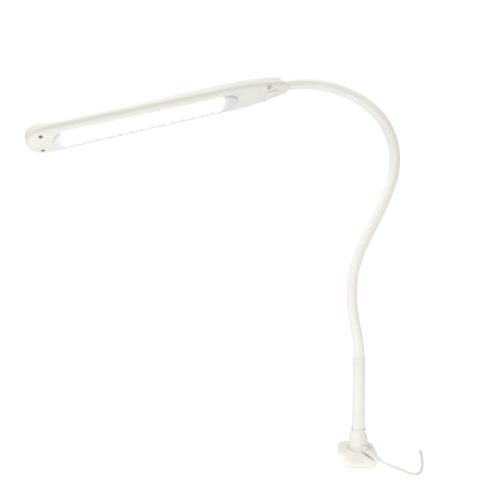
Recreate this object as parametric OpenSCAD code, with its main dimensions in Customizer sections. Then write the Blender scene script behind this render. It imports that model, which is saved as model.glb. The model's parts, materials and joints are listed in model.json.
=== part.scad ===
// Clamp-on reading lamp: a puck with a screw clamp under it grips a table's back edge, a short pole
// carries a flexible gooseneck, and the gooseneck carries a long flat head with a row of LEDs.
// Millimetres, +Z up. The origin is on the table top, on the pole's axis.

/* [Puck and clamp] */
// Width of the puck, side to side
puck_w = 50; // [40:1:70]
// Distance from the pole's axis to the puck's front edge
puck_front = 27.5; // [24:0.5:40]
// Distance from the pole's axis to the puck's back edge
puck_back = 28.5; // [26:0.5:40]
// Height of the puck's rim
puck_h = 17; // [14:0.5:26]
// Height of the puck's front edge, where its top slopes down
puck_front_h = 8.5; // [7:0.5:12]
// Radius of the puck's corners
puck_corner = 15; // [8:0.5:18]
// Wall of the puck's cover
puck_wall = 2.2; // [1.6:0.1:3]
// Thickness of the rubber pad under the puck
pad_t = 1.5; // [1:0.1:3]
// Thickness of the steel strap that the clamp is bent from
strap_t = 3; // [2:0.1:4]
// Width of the strap
strap_w = 30; // [26:1:36]
// Widest opening of the jaws, pad to foot
jaw_open = 45; // [40:1:60]
// Thickness of the table that the clamp holds as drawn
table_t = 25; // [10:1:38]
// Diameter of the clamp screw
screw_d = 8; // [6:0.5:10]
// Diameter of the knob
knob_d = 30; // [24:1:40]
// Height of the knob
knob_h = 16; // [12:1:24]
// Diameter of the pressure foot
foot_d = 26; // [20:1:32]

/* [Pole] */
// Height of the pole's top end above the table
pole_top = 145; // [120:1:170]
// Diameter of the pole at its foot
pole_d_low = 17.4; // [15:0.1:20]
// Diameter of the pole at its top
pole_d_top = 16.2; // [14:0.1:18]
// Wall of the pole
pole_wall = 1.5; // [1.2:0.1:2]
// Height of the collar's top edge above the table
collar_top = 45; // [34:1:55]
// Diameter of the collar at its foot
collar_d_low = 25; // [23:0.5:32]
// Diameter of the collar at its top
collar_d_top = 19.4; // [18.6:0.1:22]
// Height of the ferrule at the pole's top
ferrule_h = 8; // [5:0.5:14]

/* [Gooseneck] */
// Length of one of the neck's fourteen arcs
neck_arc = 35.2; // [30:0.1:42]
// Diameter of the neck's sleeve
sleeve_d = 13.6; // [12.6:0.1:16]
// How much thicker the sleeve is at its foot
sleeve_swell = 1.4; // [0:0.1:2]
// Diameter of the wound steel core
core_d = 9.2; // [8:0.1:10]
// Bore of the core
core_bore = 5; // [4:0.1:6]
// Diameter of the lead inside the core
lead_d = 3.4; // [2.4:0.1:3.6]
// Gap between two lengths of the neck, where it bends
bend_gap = 3.2; // [3:0.1:5]

/* [Head] */
// Length of the head
head_len = 317; // [280:1:380]
// Width of the head
head_w = 42; // [38:1:56]
// Height of the head above its axis
head_up = 8.5; // [8:0.1:12]
// Depth of the head below its axis
head_down = 8.5; // [8:0.1:12]
// Length of the head's rounded tip
tip_len = 26; // [22:1:40]
// Length over which the head narrows to the neck
taper_len = 76; // [60:1:80]
// Wall of the head's shells
head_wall = 2; // [1.6:0.1:2.4]
// Turn of the head about its own axis, towards the reader
head_roll = 30; // [0:1:60]
// Number of LEDs
led_count = 15; // [8:1:15]
// Distance between LEDs
led_pitch = 12.7; // [10:0.1:13]
// Width of the lens
lens_w = 24.5; // [20:0.5:30]
// How far the lens stands proud of the head
lens_proud = 3; // [1:0.1:4]
// Length of the switch button
button_len = 17; // [12:0.5:20]
// Width of the switch button
button_w = 11; // [8:0.5:14]

/* [Cord] */
// Diameter of the cord
cord_d = 4.5; // [3.5:0.1:6]
// Length of the strain relief outside the collar
relief_len = 28; // [20:1:40]
// Turns beside each other in the tied hank
hank_rows = 2; // [2:1:3]
// Layers of turns in the tied hank
hank_layers = 4; // [3:1:5]
// Length of the hank's straight runs
hank_run = 68; // [60:1:90]
// Radius of the hank's inner turns
hank_bend = 13.5; // [12:0.5:16]

/* [Clearances] */
// Radial clearance of pieces that turn or slide in each other
run_clear = 0.05; // [0.02:0.01:0.1]
// Clearance between pieces that are fixed together
seat_clear = 0.1; // [0.05:0.01:0.2]

/* [Hidden] */

$fn = 48;
white = [0.94, 0.93, 0.9];
rubber_white = [0.88, 0.87, 0.85];
steel = [0.72, 0.73, 0.74];

// ---- The neck's path: fourteen arcs of equal length, from the pole's top to the head ----
// Lean of the neck at each end of each arc: to the right of upright, and towards the front
neck_side = [0, -12, -7, 4, 19, 26, 24, 18, -2, -24, -48, -66, -79, -94, -108];
neck_fore = [0, 1, 2, 3, 4, 5, 6, 6, 7, 8, 9, 11, 14, 18, 23];
neck_arcs = len(neck_side) - 1;
arcs_each = 2;
neck_lengths = neck_arcs / arcs_each;
// The sleeve stands on the ferrule
neck_foot = pole_top + 3 * seat_clear;
// The core reaches this far down into the pole
core_in_pole = 16;

function unit(v) = v / norm(v);
function neck_dir(i) = [
    sin(neck_side[i]) * cos(neck_fore[i]), -sin(neck_fore[i]), cos(neck_side[i]) * cos(neck_fore[i])];
// Angle that an arc turns through, its radius, and the direction to its centre
function arc_turn(i) = acos(neck_dir(i) * neck_dir(i + 1));
function arc_r(i) = neck_arc / (arc_turn(i) * PI / 180);
function arc_in(i) = unit(neck_dir(i + 1) - (neck_dir(i) * neck_dir(i + 1)) * neck_dir(i));
// A point on an arc, and the neck's direction there, a distance s past its start
function arc_at(i, s) = let (a = s / arc_r(i) * 180 / PI)
    neck_at(i) + arc_r(i) * (sin(a) * neck_dir(i) + (1 - cos(a)) * arc_in(i));
function arc_dir(i, s) = let (a = s / arc_r(i) * 180 / PI)
    cos(a) * neck_dir(i) + sin(a) * arc_in(i);
function neck_at(i) = i == 0 ? [0, 0, neck_foot] : arc_at(i - 1, neck_arc);

// ---- Sweeping a round section along a list of points ----
function sweep_dir(p, i) = unit(p[min(i + 1, len(p) - 1)] - p[max(i - 1, 0)]);
// A direction square to the path, carried along it so that the tube doesn't twist
function square_to(v, d) = unit(v - (v * d) * d);
function first_side(d) = square_to(abs(d.z) < 0.8 ? [0, 0, 1] : [0, 1, 0], d);
function sweep_sides(p) = [for (i = 0, d = sweep_dir(p, 0), v = first_side(d); i < len(p);
        i = i + 1, d = i < len(p) ? sweep_dir(p, i) : d, v = square_to(v, d)) v];
function same(v, n) = [for (j = [1 : n]) v];
module sweep(p, r, sides) {
    n = len(p);
    v = sweep_sides(p);
    rings = [for (i = [0 : n - 1]) let (d = sweep_dir(p, i), w = cross(d, v[i]))
        for (k = [0 : sides - 1]) p[i] + r[i] * (cos(360 * k / sides) * v[i] + sin(360 * k / sides) * w)];
    walls = [for (i = [0 : n - 2], k = [0 : sides - 1]) let (m = (k + 1) % sides)
        for (f = [0, 1]) f == 0
            ? [i * sides + k, (i + 1) * sides + k, (i + 1) * sides + m]
            : [i * sides + k, (i + 1) * sides + m, i * sides + m]];
    ends = [[for (k = [0 : sides - 1]) k], [for (k = [sides - 1 : -1 : 0]) (n - 1) * sides + k]];
    polyhedron(rings, concat(walls, ends));
}

// A rounded rectangle and a bar with round ends
module rounded(x0, x1, y0, y1, r) {
    translate([x0 + r, y0]) square([x1 - x0 - 2 * r, y1 - y0]);
    translate([x0, y0 + r]) square([x1 - x0, y1 - y0 - 2 * r]);
    for (x = [x0 + r, x1 - r], y = [y0 + r, y1 - r]) translate([x, y]) circle(r);
}
module bar(x0, x1, w) {
    translate([x0 + w / 2, -w / 2]) square([x1 - x0 - w, w]);
    for (x = [x0 + w / 2, x1 - w / 2]) translate([x, 0]) circle(w / 2);
}

// ---- Puck ----
dish_r = collar_d_low / 2 + 3;
dish_z = 14.5;
strap_z = pad_t + seat_clear;
strap_top = strap_z + strap_t;
strap_back = puck_back - puck_wall - seat_clear;
strap_front = puck_front - 9;
cover_z = pad_t;
slope_start = 12;
// The puck is not quite centred on the pole
puck_shift = -1.5;
stud_d = 10;
strap_screw_x = 12;
strap_screw_y = 17;
strap_screw_d = 3;
csk_h = 1.5;
module at_strap_screws() {
    for (x = [-strap_screw_x, strap_screw_x]) translate([x, strap_screw_y, 0]) children();
}

module puck_outline(inset = 0) {
    rounded(puck_shift - puck_w / 2 + inset, puck_shift + puck_w / 2 - inset, -puck_front + inset,
        puck_back - inset, puck_corner - inset);
}

module base_cover() {
    tilt = atan((puck_h - puck_front_h) / (puck_front - slope_start));
    color(white) difference() {
        translate([0, 0, cover_z]) linear_extrude(puck_h - cover_z) puck_outline();
        // hollow over the strap
        translate([0, 0, cover_z - 1]) linear_extrude(strap_top + seat_clear - cover_z + 1)
            puck_outline(puck_wall);
        // room for the strap's wall at the back
        translate([-strap_w / 2 - seat_clear, 0, cover_z - 1])
            cube([strap_w + 2 * seat_clear, strap_back + seat_clear, strap_top + seat_clear - cover_z + 1]);
        // top slopes down to the front
        translate([-puck_w, -slope_start, puck_h]) rotate([tilt, 0, 0])
            translate([0, -2 * puck_front, 0]) cube([2 * puck_w, 2 * puck_front, puck_h]);
        // dish that the collar stands in
        translate([0, 0, dish_z]) cylinder(h = puck_h, r1 = dish_r, r2 = dish_r + puck_h / 2);
        // the pole's stud, and the cover's own screws
        cylinder(h = puck_h, r = stud_d / 2 + seat_clear);
        cylinder(h = strap_top + nut_h + 2 * seat_clear, r = nut_r + 3 * seat_clear, $fn = 6);
        at_strap_screws() cylinder(h = dish_z, r = strap_screw_d / 2 + run_clear);
        // a channel under the strain relief
        along_relief() cylinder(h = relief_end, r = relief_r + 3 * seat_clear);
    }
}

// The pad stops in front of the strap's wall
module base_pad() {
    color(rubber_white) linear_extrude(pad_t) intersection() {
        puck_outline(puck_wall / 2);
        translate([-puck_w, -puck_front]) square([2 * puck_w, puck_front + strap_back - strap_t - seat_clear]);
    }
}

// ---- Clamp ----
bush_r = 7;
bush_flange_r = 9.5;
bush_h = 9;
foot_t = 3;
foot_pad_t = 2;
cup_h = 5;
// With the jaws wide open the foot's cup stops just above the bush
strap_low = -jaw_open - foot_pad_t - foot_t - cup_h - 2 - bush_h;
lower_front = 14;

module clamp_strap() {
    color(steel) difference() {
        union() {
            // upper leg under the cover, wall down the table's edge, lower leg back under the table
            translate([-strap_w / 2, -strap_front, strap_z])
                cube([strap_w, strap_front + strap_back, strap_t]);
            translate([-strap_w / 2, strap_back - strap_t, strap_low])
                cube([strap_w, strap_t, strap_top - strap_low]);
            translate([-strap_w / 2, -lower_front, strap_low])
                cube([strap_w, lower_front + strap_back, strap_t]);
        }
        translate([0, 0, strap_z - 1]) cylinder(h = strap_t + 2, r = stud_d / 2 + run_clear);
        at_strap_screws() {
            cylinder(h = strap_top + 1, r = strap_screw_d / 2 + run_clear);
            translate([0, 0, strap_z]) cylinder(h = csk_h, r1 = strap_screw_d + run_clear, r2 = strap_screw_d / 2 + run_clear);
        }
        translate([0, 0, strap_low - 1]) cylinder(h = strap_t + 2, r = bush_r + seat_clear / 2);
    }
}

// Countersunk screws, flush with the strap's underside
module strap_screws() {
    color(steel) at_strap_screws() translate([0, 0, strap_z]) {
        cylinder(h = csk_h, r1 = strap_screw_d, r2 = strap_screw_d / 2);
        cylinder(h = dish_z - strap_z - 1, r = strap_screw_d / 2);
    }
}

// The threaded bush is riveted into the lower leg
module clamp_bush() {
    color(steel) difference() {
        union() {
            translate([0, 0, strap_low]) cylinder(h = bush_h, r = bush_r);
            translate([0, 0, strap_low + strap_t]) cylinder(h = 2, r = bush_flange_r);
        }
        translate([0, 0, strap_low - 1]) cylinder(h = bush_h + 2, r = screw_d / 2 + run_clear);
    }
}

foot_z = -table_t - foot_pad_t - foot_t;
groove_r = screw_d / 2 - 1.5;
screw_end = foot_z - 0.5;
clip_t = 0.8;
knob_cone = 4;
knob_bite = 17;
// The knob stays below the lower leg when the jaws are shut
screw_len = -strap_low + knob_cone + knob_bite - foot_pad_t - foot_t;

module clamp_screw() {
    color(steel) difference() {
        translate([0, 0, screw_end - screw_len]) cylinder(h = screw_len, r = screw_d / 2);
        // groove for the clip
        translate([0, 0, screw_end - cup_h - clip_t - 0.3]) difference() {
            cylinder(h = clip_t + 0.2, r = screw_d);
            translate([0, 0, -1]) cylinder(h = clip_t + 3, r = groove_r);
        }
    }
}

// The foot is a disc with a cup that the screw's end turns in
module clamp_foot() {
    color(steel) difference() {
        union() {
            translate([0, 0, foot_z]) cylinder(h = foot_t, r = foot_d / 2);
            translate([0, 0, foot_z - cup_h]) cylinder(h = cup_h, r = screw_d / 2 + 2);
        }
        translate([0, 0, foot_z - cup_h - 1]) cylinder(h = cup_h + 1, r = screw_d / 2 + run_clear);
    }
}

module foot_pad() {
    color(rubber_white) translate([0, 0, foot_z + foot_t]) cylinder(h = foot_pad_t, r = foot_d / 2);
}

module foot_clip() {
    color(steel) translate([0, 0, screw_end - cup_h - clip_t - 0.2]) difference() {
        cylinder(h = clip_t, r = screw_d / 2 + 1.6);
        translate([0, 0, -1]) cylinder(h = clip_t + 2, r = groove_r + run_clear);
        translate([-groove_r, 0, -1]) cube([2 * groove_r, screw_d, clip_t + 2]);
    }
}

lobes = 8;
knob_z = screw_end - screw_len - 3;
knob_bore_clear = 0.01;
module clamp_knob() {
    color(white) difference() {
        translate([0, 0, knob_z]) {
            cylinder(h = knob_h, r = knob_d / 2);
            translate([0, 0, knob_h]) cylinder(h = knob_cone, r1 = knob_d / 3, r2 = screw_d / 2 + 2);
        }
        for (i = [0 : lobes - 1]) rotate([0, 0, i * 360 / lobes])
            translate([knob_d / 2 + 1.8, 0, knob_z - 1]) cylinder(h = knob_h + 2, r = 3.6);
        translate([0, 0, knob_z + 3]) cylinder(h = knob_h + knob_cone, r = screw_d / 2 + knob_bore_clear);
    }
}

// ---- Collar, pole and what holds them ----
// Where the cord leaves the collar: its heading to the right of straight ahead, its dip, its height
relief_heading = 32;
relief_dip = 10;
relief_z = 21.6;
relief_r = 5.2;
cord_fit = 0.02;
// The boot's own root is inside the collar's wall
relief_root = 10;
relief_dir = [
    sin(relief_heading) * cos(relief_dip), -cos(relief_heading) * cos(relief_dip), -sin(relief_dip)];

module along_relief() {
    translate([0, 0, relief_z]) rotate([0, 0, relief_heading - 90]) rotate([0, 90 + relief_dip, 0])
        children();
}

collar_skirt = 18;
collar_ring = 2;
module collar() {
    color(white) difference() {
        union() {
            translate([0, 0, dish_z]) cylinder(h = collar_skirt, r = collar_d_low / 2);
            translate([0, 0, dish_z + collar_skirt]) cylinder(
                h = collar_top - dish_z - collar_skirt - collar_ring, r1 = collar_d_low / 2, r2 = collar_d_top / 2);
            translate([0, 0, collar_top - collar_ring]) cylinder(h = collar_ring, r = collar_d_top / 2);
        }
        translate([0, 0, pole_foot]) cylinder(h = collar_top, r = pole_d_low / 2 + seat_clear);
        translate([0, 0, dish_z - 1]) cylinder(h = 10, r = stud_d / 2 + seat_clear);
        along_relief() cylinder(h = 40, r = relief_r + seat_clear / 2);
    }
}

pole_foot = dish_z + 3;
module pole() {
    h = pole_top - ferrule_h - pole_foot;
    color(white) difference() {
        translate([0, 0, pole_foot]) cylinder(h = h, r1 = pole_d_low / 2, r2 = pole_d_top / 2);
        translate([0, 0, pole_foot - 1])
            cylinder(h = h + 2, r1 = pole_d_low / 2 - pole_wall, r2 = pole_d_top / 2 - pole_wall);
        // window for the lead
        along_relief() cylinder(h = 20, r = lead_d / 2 + 1.2);
    }
}

// Hollow stud: a shoulder inside the pole's foot, and a thread through the collar, cover and strap
stud_shoulder_h = 1.2;
stud_shoulder_r = pole_d_low / 2 - pole_wall - seat_clear;
module pole_stud() {
    color(steel) difference() {
        union() {
            translate([0, 0, strap_z]) cylinder(h = pole_foot - strap_z, r = stud_d / 2);
            translate([0, 0, pole_foot]) cylinder(h = stud_shoulder_h, r = stud_shoulder_r);
        }
        translate([0, 0, -1]) cylinder(h = pole_foot + 4, r = stud_d / 2 - 2);
    }
}

nut_r = 7.8;
nut_h = 4;
module pole_nut() {
    color(steel) translate([0, 0, strap_top]) difference() {
        cylinder(h = nut_h, r = nut_r, $fn = 6);
        translate([0, 0, -1]) cylinder(h = nut_h + 2, r = stud_d / 2 + knob_bore_clear);
    }
}

module neck_ferrule() {
    color(white) difference() {
        union() {
            translate([0, 0, pole_top - ferrule_h]) cylinder(h = ferrule_h, r = pole_d_top / 2 + 0.35);
            translate([0, 0, pole_top - ferrule_h - 12])
                cylinder(h = 12, r = pole_d_top / 2 - pole_wall - 0.25);
        }
        translate([0, 0, pole_top - 30]) cylinder(h = 32, r = core_d / 2 + 0.02);
    }
}

lead_turn = 5;
lead_low = relief_z - lead_turn * tan(relief_dip);
module pole_lead() {
    // from the root of the strain relief, round a bend inside the pole, up to the core
    start = [0, 0, relief_z] + (relief_root - seat_clear) * relief_dir;
    flat = [sin(relief_heading), -cos(relief_heading), 0];
    bend = [for (a = [0 : 15 : 75]) (lead_turn - lead_turn * sin(a)) * flat
        + [0, 0, lead_low + lead_turn - lead_turn * cos(a)]];
    path = concat([start], bend, [[0, 0, lead_low + lead_turn + 2], [0, 0, pole_top - 24],
        [0, 0, neck_foot - seat_clear]]);
    color(rubber_white) sweep(path, same(lead_d / 2, len(path)), 10);
}

relief_head = 7;
relief_end = collar_d_low / 2 + relief_len;
module strain_relief() {
    ribs = 5;
    rib_pitch = 3.4;
    color(white) along_relief() difference() {
        union() {
            translate([0, 0, relief_root]) cylinder(h = relief_head, r = relief_r);
            translate([0, 0, relief_root + relief_head])
                cylinder(h = relief_end - relief_root - relief_head, r1 = 3.8, r2 = cord_d / 2 + 0.8);
            for (i = [0 : ribs - 1]) translate([0, 0, relief_root + relief_head + 1.4 + i * rib_pitch])
                cylinder(h = 1.6, r = 4.2 - i * 0.22);
        }
        translate([0, 0, relief_root - 1]) cylinder(h = relief_end, r = cord_d / 2 + cord_fit);
    }
}

// ---- Neck ----
rings_each = 8;
sleeve_bore = core_d / 2 + 0.12;
function swell_at(s) = sleeve_swell / 2 * max(0, 1 - s / (2 * neck_arc));
// Length k of the neck is two arcs; it stops short of the joints at its ends
function length_start(k) = k == 1 ? 0 : bend_gap / 2;
function length_end(k) = arcs_each * neck_arc - (k == neck_lengths ? 0 : bend_gap / 2);
function length_steps(k) = let (s0 = length_start(k), s1 = length_end(k))
    [for (j = [0 : rings_each]) s0 + (s1 - s0) * j / rings_each];
function length_path(k) = [for (s = length_steps(k)) let (i = s < neck_arc ? 0 : 1)
    arc_at(arcs_each * (k - 1) + i, s - i * neck_arc)];
// The highest length runs straight on into the head, up to the stub's flange at the bulkhead
bulkhead_x = 12;
stub_flange = 2;
// The neck's end lies this far inside the head
head_set = 6;
head_run = bulkhead_x - stub_flange - seat_clear - head_set;
function run_on(k, far) = concat(length_path(k),
    k == neck_lengths ? [neck_at(neck_arcs) + far * neck_dir(neck_arcs)] : []);
// The same path run on past both ends, for a bore right through
function bore_path(k) = let (p = run_on(k, head_run), i = arcs_each * (k - 1))
    concat([p[0] - arc_dir(i, length_start(k))], p,
        [p[len(p) - 1] + arc_dir(i + 1, length_end(k) - neck_arc)]);
// The lowest length of core runs on down into the pole
function core_foot(k) = k == 1 ? [[0, 0, neck_foot - core_in_pole]] : [];

module neck_sleeve(k) {
    path = run_on(k, head_run);
    bore = bore_path(k);
    sides = 20;
    color(white) difference() {
        sweep(path, [for (j = [0 : len(path) - 1])
            sleeve_d / 2 + (k == 1 ? swell_at(length_steps(k)[j]) : 0)], sides);
        sweep(bore, same(sleeve_bore / cos(180 / sides), len(bore)), sides);
    }
}

module neck_core(k) {
    path = concat(core_foot(k), run_on(k, head_run));
    bore = k == 1 ? concat([core_foot(k)[0] - [0, 0, 1]], bore_path(k)) : bore_path(k);
    color(steel) difference() {
        sweep(path, same(core_d / 2, len(path)), 16);
        sweep(bore, same(core_bore / 2, len(bore)), 16);
    }
}

module neck_lead(k) {
    // the last one runs on through the stub to the driver board
    path = run_on(k, driver_x0 - seat_clear - head_set);
    color(rubber_white) sweep(path, same(lead_d / 2, len(path)), 8);
}

module neck_sleeve_1() neck_sleeve(1);
module neck_sleeve_2() neck_sleeve(2);
module neck_sleeve_3() neck_sleeve(3);
module neck_sleeve_4() neck_sleeve(4);
module neck_sleeve_5() neck_sleeve(5);
module neck_sleeve_6() neck_sleeve(6);
module neck_sleeve_7() neck_sleeve(7);
module neck_core_1() neck_core(1);
module neck_core_2() neck_core(2);
module neck_core_3() neck_core(3);
module neck_core_4() neck_core(4);
module neck_core_5() neck_core(5);
module neck_core_6() neck_core(6);
module neck_core_7() neck_core(7);
module neck_lead_1() neck_lead(1);
module neck_lead_2() neck_lead(2);
module neck_lead_3() neck_lead(3);
module neck_lead_4() neck_lead(4);
module neck_lead_5() neck_lead(5);
module neck_lead_6() neck_lead(6);
module neck_lead_7() neck_lead(7);

// ---- Head: X runs from the neck to the tip, Y to the reader's side, Z away from the LEDs ----
module in_head() {
    u = neck_dir(neck_arcs);
    z0 = unit([0, 0, 1] - u.z * u);
    y0 = cross(z0, u);
    y = cos(head_roll) * y0 + sin(head_roll) * z0;
    z = cos(head_roll) * z0 - sin(head_roll) * y0;
    p = neck_at(neck_arcs) - head_set * u;
    multmatrix([[u.x, y.x, z.x, p.x], [u.y, y.y, z.y, p.y], [u.z, y.z, z.z, p.z]]) children();
}

section_power = 3.4;
tip_power = 2.5;
neck_end_w = 18.6;
neck_end_h = 8;
part_z = 2.5;
// Half width of the head a distance x from its neck end, and its height and depth there
function ease(t) = t <= 0 ? 0 : t >= 1 ? 1 : t * t * (3 - 2 * t);
function tip_part(x) = max(0, (x - head_len + tip_len) / tip_len);
function tip_fall(x) = pow(max(0, 1 - pow(tip_part(x), tip_power)), 1 / tip_power);
function half_w(x) = (neck_end_w + (head_w - neck_end_w) * sin(90 * min(1, x / taper_len))) / 2 * tip_fall(x);
function up_at(x) = (neck_end_h + (head_up - neck_end_h) * ease(x / taper_len)) * pow(tip_fall(x), 0.6);
function down_at(x) = (neck_end_h + (head_down - neck_end_h) * ease(x / 20)) * pow(tip_fall(x), 0.6);

section_sides = 28;
head_stations = concat([for (x = [0 : 9.5 : taper_len]) x],
    [(taper_len + head_len - tip_len) / 2],
    [for (t = [0, 0.3, 0.5, 0.66, 0.79, 0.89, 0.96, 0.995]) head_len - tip_len + tip_len * t]);

function signed_pow(v, e) = sign(v) * pow(abs(v), e);
// The head's form as one loft of superellipse sections, shrunk by inset
module head_form(inset = 0) {
    xs = head_stations;
    n = len(xs);
    squeeze = (head_len - 2 * inset) / head_len;
    points = [for (x = xs) let (w = max(0.2, half_w(x) - inset), u = max(0.2, up_at(x) - inset),
            d = max(0.2, down_at(x) - inset))
        for (k = [0 : section_sides - 1]) let (a = 360 * k / section_sides)
            [inset + x * squeeze, w * signed_pow(cos(a), 2 / section_power),
                (sin(a) > 0 ? u : d) * signed_pow(sin(a), 2 / section_power)]];
    walls = [for (i = [0 : n - 2], k = [0 : section_sides - 1]) let (m = (k + 1) % section_sides)
        for (f = [0, 1]) f == 0
            ? [i * section_sides + k, (i + 1) * section_sides + m, (i + 1) * section_sides + k]
            : [i * section_sides + k, i * section_sides + m, (i + 1) * section_sides + m]];
    ends = [[for (k = [section_sides - 1 : -1 : 0]) k],
        [for (k = [0 : section_sides - 1]) (n - 1) * section_sides + k]];
    polyhedron(points, concat(walls, [for (e = ends) [for (k = [section_sides - 1 : -1 : 0]) e[k]]]));
}

window_x0 = 72.5;
window_x1 = head_len - 25.5;
first_led_x = 99;
head_screws_x = [30, head_len - 14];
head_screw_y = 11.5;
screw_seat_z = -3.4;
boss_meet_z = -1;
head_screw_d = 2.4;
head_screw_end = 4.4;
screw_head_h = 1.5;
thread_fit = 0.02;
hole_d = 4.6;
hood_run = 13;
hood_rise = 15;
bulkhead_t = 1.8;
stub_d = 8;
button_x = 25.5;
rib_xs = [104, 182, 260];
floor_z = -head_down + head_wall;

// The head's open end is cut on a slant, so that its underside reaches further along the neck
module hood_cut() {
    slant = atan(hood_run / hood_rise);
    translate([0, -head_w, -head_down]) rotate([0, slant, 0])
        translate([-60, 0, -20]) cube([60, 2 * head_w, 60]);
}

// The sleeve's way into the hood, with room for its bend
way_clear = 0.45;
module neck_way() {
    translate([-1, 0, 0]) rotate([0, 90, 0]) cylinder(h = bulkhead_x + 1, r = sleeve_d / 2 + way_clear);
}

// A recess that the lens's flange or the button's lip sits in, with room round it
module floor_pocket() {
    translate([0, 0, floor_z]) linear_extrude(head_down) children();
}

module head_bosses(r, z0, h) {
    for (x = head_screws_x, y = [-head_screw_y, head_screw_y]) translate([x, y, z0]) cylinder(h = h, r = r);
}

module head_housing() {
    color(white) in_head() difference() {
        union() {
            difference() {
                head_form();
                head_form(head_wall);
                translate([-1, -head_w, part_z]) cube([head_len + 2, 2 * head_w, 2 * head_up]);
                neck_way();
                hood_cut();
            }
            intersection() {
                head_form(0.5);
                union() {
                    translate([bulkhead_x, -head_w / 2, -head_down]) cube([bulkhead_t, head_w, head_down + part_z]);
                    head_bosses(3.4, -head_down, head_down + boss_meet_z);
                }
            }
            intersection() {
                head_form(head_wall + seat_clear);
                translate([bulkhead_x, -head_w / 2, 0]) cube([bulkhead_t, head_w, head_up]);
            }
        }
        translate([bulkhead_x - 1, 0, 0]) rotate([0, 90, 0]) cylinder(h = bulkhead_t + 2, r = stub_d / 2 + run_clear);
        head_bosses(hole_d / 2, -head_down - 1, head_down + 1 + screw_seat_z);
        head_bosses(head_screw_d / 2 + 0.15, -head_down, head_down);
        // openings for the lens and the button, and flat seats inside for what keeps them in
        translate([0, 0, -head_down - 1]) linear_extrude(head_wall + 2)
            bar(window_x0 - seat_clear, window_x1 + seat_clear, lens_w + 2 * seat_clear);
        floor_pocket() bar(window_x0 - flange_w - seat_clear, window_x1 + flange_w + seat_clear,
            lens_w + 2 * flange_w + 2 * seat_clear);
        translate([button_x, 0, -head_down - 2]) linear_extrude(head_wall + 3) button_outline(seat_clear);
        translate([button_x, 0, 0]) floor_pocket() button_outline(lip_w + seat_clear);
    }
}

module head_lid() {
    color(white) in_head() difference() {
        union() {
            difference() {
                head_form();
                head_form(head_wall);
                translate([-1, -head_w, -2 * head_down + part_z + run_clear])
                    cube([head_len + 2, 2 * head_w, 2 * head_down]);
                neck_way();
                hood_cut();
            }
            intersection() {
                head_form(0.5);
                union() {
                    head_bosses(3, part_z + run_clear, head_up);
                    // ribs that press the tray down
                    for (x = rib_xs) translate([x, -9, tray_top + run_clear]) cube([1.6, 18, head_up]);
                }
            }
            intersection() {
                head_form(head_wall + seat_clear);
                head_bosses(3, boss_meet_z + run_clear, head_up);
            }
        }
        head_bosses(head_screw_d / 2 + thread_fit, boss_meet_z - 1, head_screw_end + seat_clear - boss_meet_z + 1);
    }
}

module head_screws() {
    color(steel) in_head() {
        head_bosses(hole_d / 2 - 0.3, screw_seat_z - screw_head_h, screw_head_h);
        head_bosses(head_screw_d / 2, screw_seat_z - screw_head_h, head_screw_end - screw_seat_z + screw_head_h);
    }
}

lens_t = 1.6;
flange_t = 1.4;
flange_w = 2;
// The lens's outer form, and the same form shrunk by its wall for the hollow
module lens_dome(inset = 0) {
    hull() {
        translate([0, 0, floor_z + inset]) linear_extrude(0.1)
            bar(window_x0 + inset, window_x1 - inset, lens_w - 2 * inset);
        translate([0, 0, -head_down - lens_proud + 1.2 + inset]) linear_extrude(0.1)
            bar(window_x0 + 1 + inset, window_x1 - 1 - inset, lens_w - 2 - 2 * inset);
        translate([0, 0, -head_down - lens_proud + inset]) linear_extrude(0.1)
            bar(window_x0 + 4 + inset, window_x1 - 4 - inset, lens_w - 8 - 2 * inset);
    }
}
module lens() {
    color([0.96, 0.97, 0.98]) in_head() difference() {
        union() {
            lens_dome();
            translate([0, 0, floor_z + 0.02]) linear_extrude(flange_t)
                bar(window_x0 - flange_w, window_x1 + flange_w, lens_w + 2 * flange_w);
        }
        lens_dome(lens_t);
        translate([0, 0, floor_z - 0.5]) linear_extrude(flange_t + 1)
            bar(window_x0 + lens_t, window_x1 - lens_t, lens_w - 2 * lens_t);
    }
}

board_t = 1.2;
board_z = -2.4;
board_w = 21;
tray_t = 1.6;
tray_top = board_z + board_t + tray_t;
board_x0 = first_led_x - 15;
board_x1 = first_led_x + (led_count - 1) * led_pitch + 8;
module led_board() {
    color([0.95, 0.95, 0.93]) in_head() translate([board_x0, -board_w / 2, board_z])
        cube([board_x1 - board_x0, board_w, board_t]);
}

module led_tray() {
    color([0.8, 0.81, 0.82]) in_head() difference() {
        translate([board_x0 + 8, -board_w / 2 - 1.6, floor_z + flange_t + 0.1])
            cube([board_x1 - board_x0 - 6, board_w + 3.2, tray_top - floor_z - flange_t - 0.1]);
        translate([board_x0, -board_w / 2 - 0.05, -head_down])
            cube([board_x1 - board_x0 + 0.05, board_w + 0.1, head_down + board_z + board_t]);
    }
}

led_size = 5;
led_t = 0.9;
module leds() {
    color([1, 0.98, 0.9]) in_head() for (i = [0 : led_count - 1])
        translate([first_led_x + i * led_pitch - led_size / 2, -led_size / 2, board_z - led_t])
            cube([led_size, led_size, led_t]);
}

driver_z = -1;
driver_t = 1.4;
driver_w = 15;
driver_x0 = 17;
driver_x1 = 62;
module driver_board() {
    color([0.2, 0.45, 0.3]) in_head() difference() {
        translate([driver_x0, -driver_w / 2, driver_z]) cube([driver_x1 - driver_x0, driver_w, driver_t]);
        for (y = [-5, 5]) translate([driver_x0 + 21, y, driver_z - 1]) cylinder(h = driver_t + 2, r = 1);
    }
}
module driver_parts() {
    color([0.2, 0.2, 0.22]) in_head() translate([0, 0, driver_z + driver_t]) {
        translate([30, 0, 0]) cylinder(h = 4, r = 3.5);
        translate([38, -3, 0]) cube([5, 6, 1.6]);
        translate([46, -4, 0]) cube([5, 8, 2.4]);
        translate([22, -2.5, 0]) cube([4, 5, 1.2]);
    }
}

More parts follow.
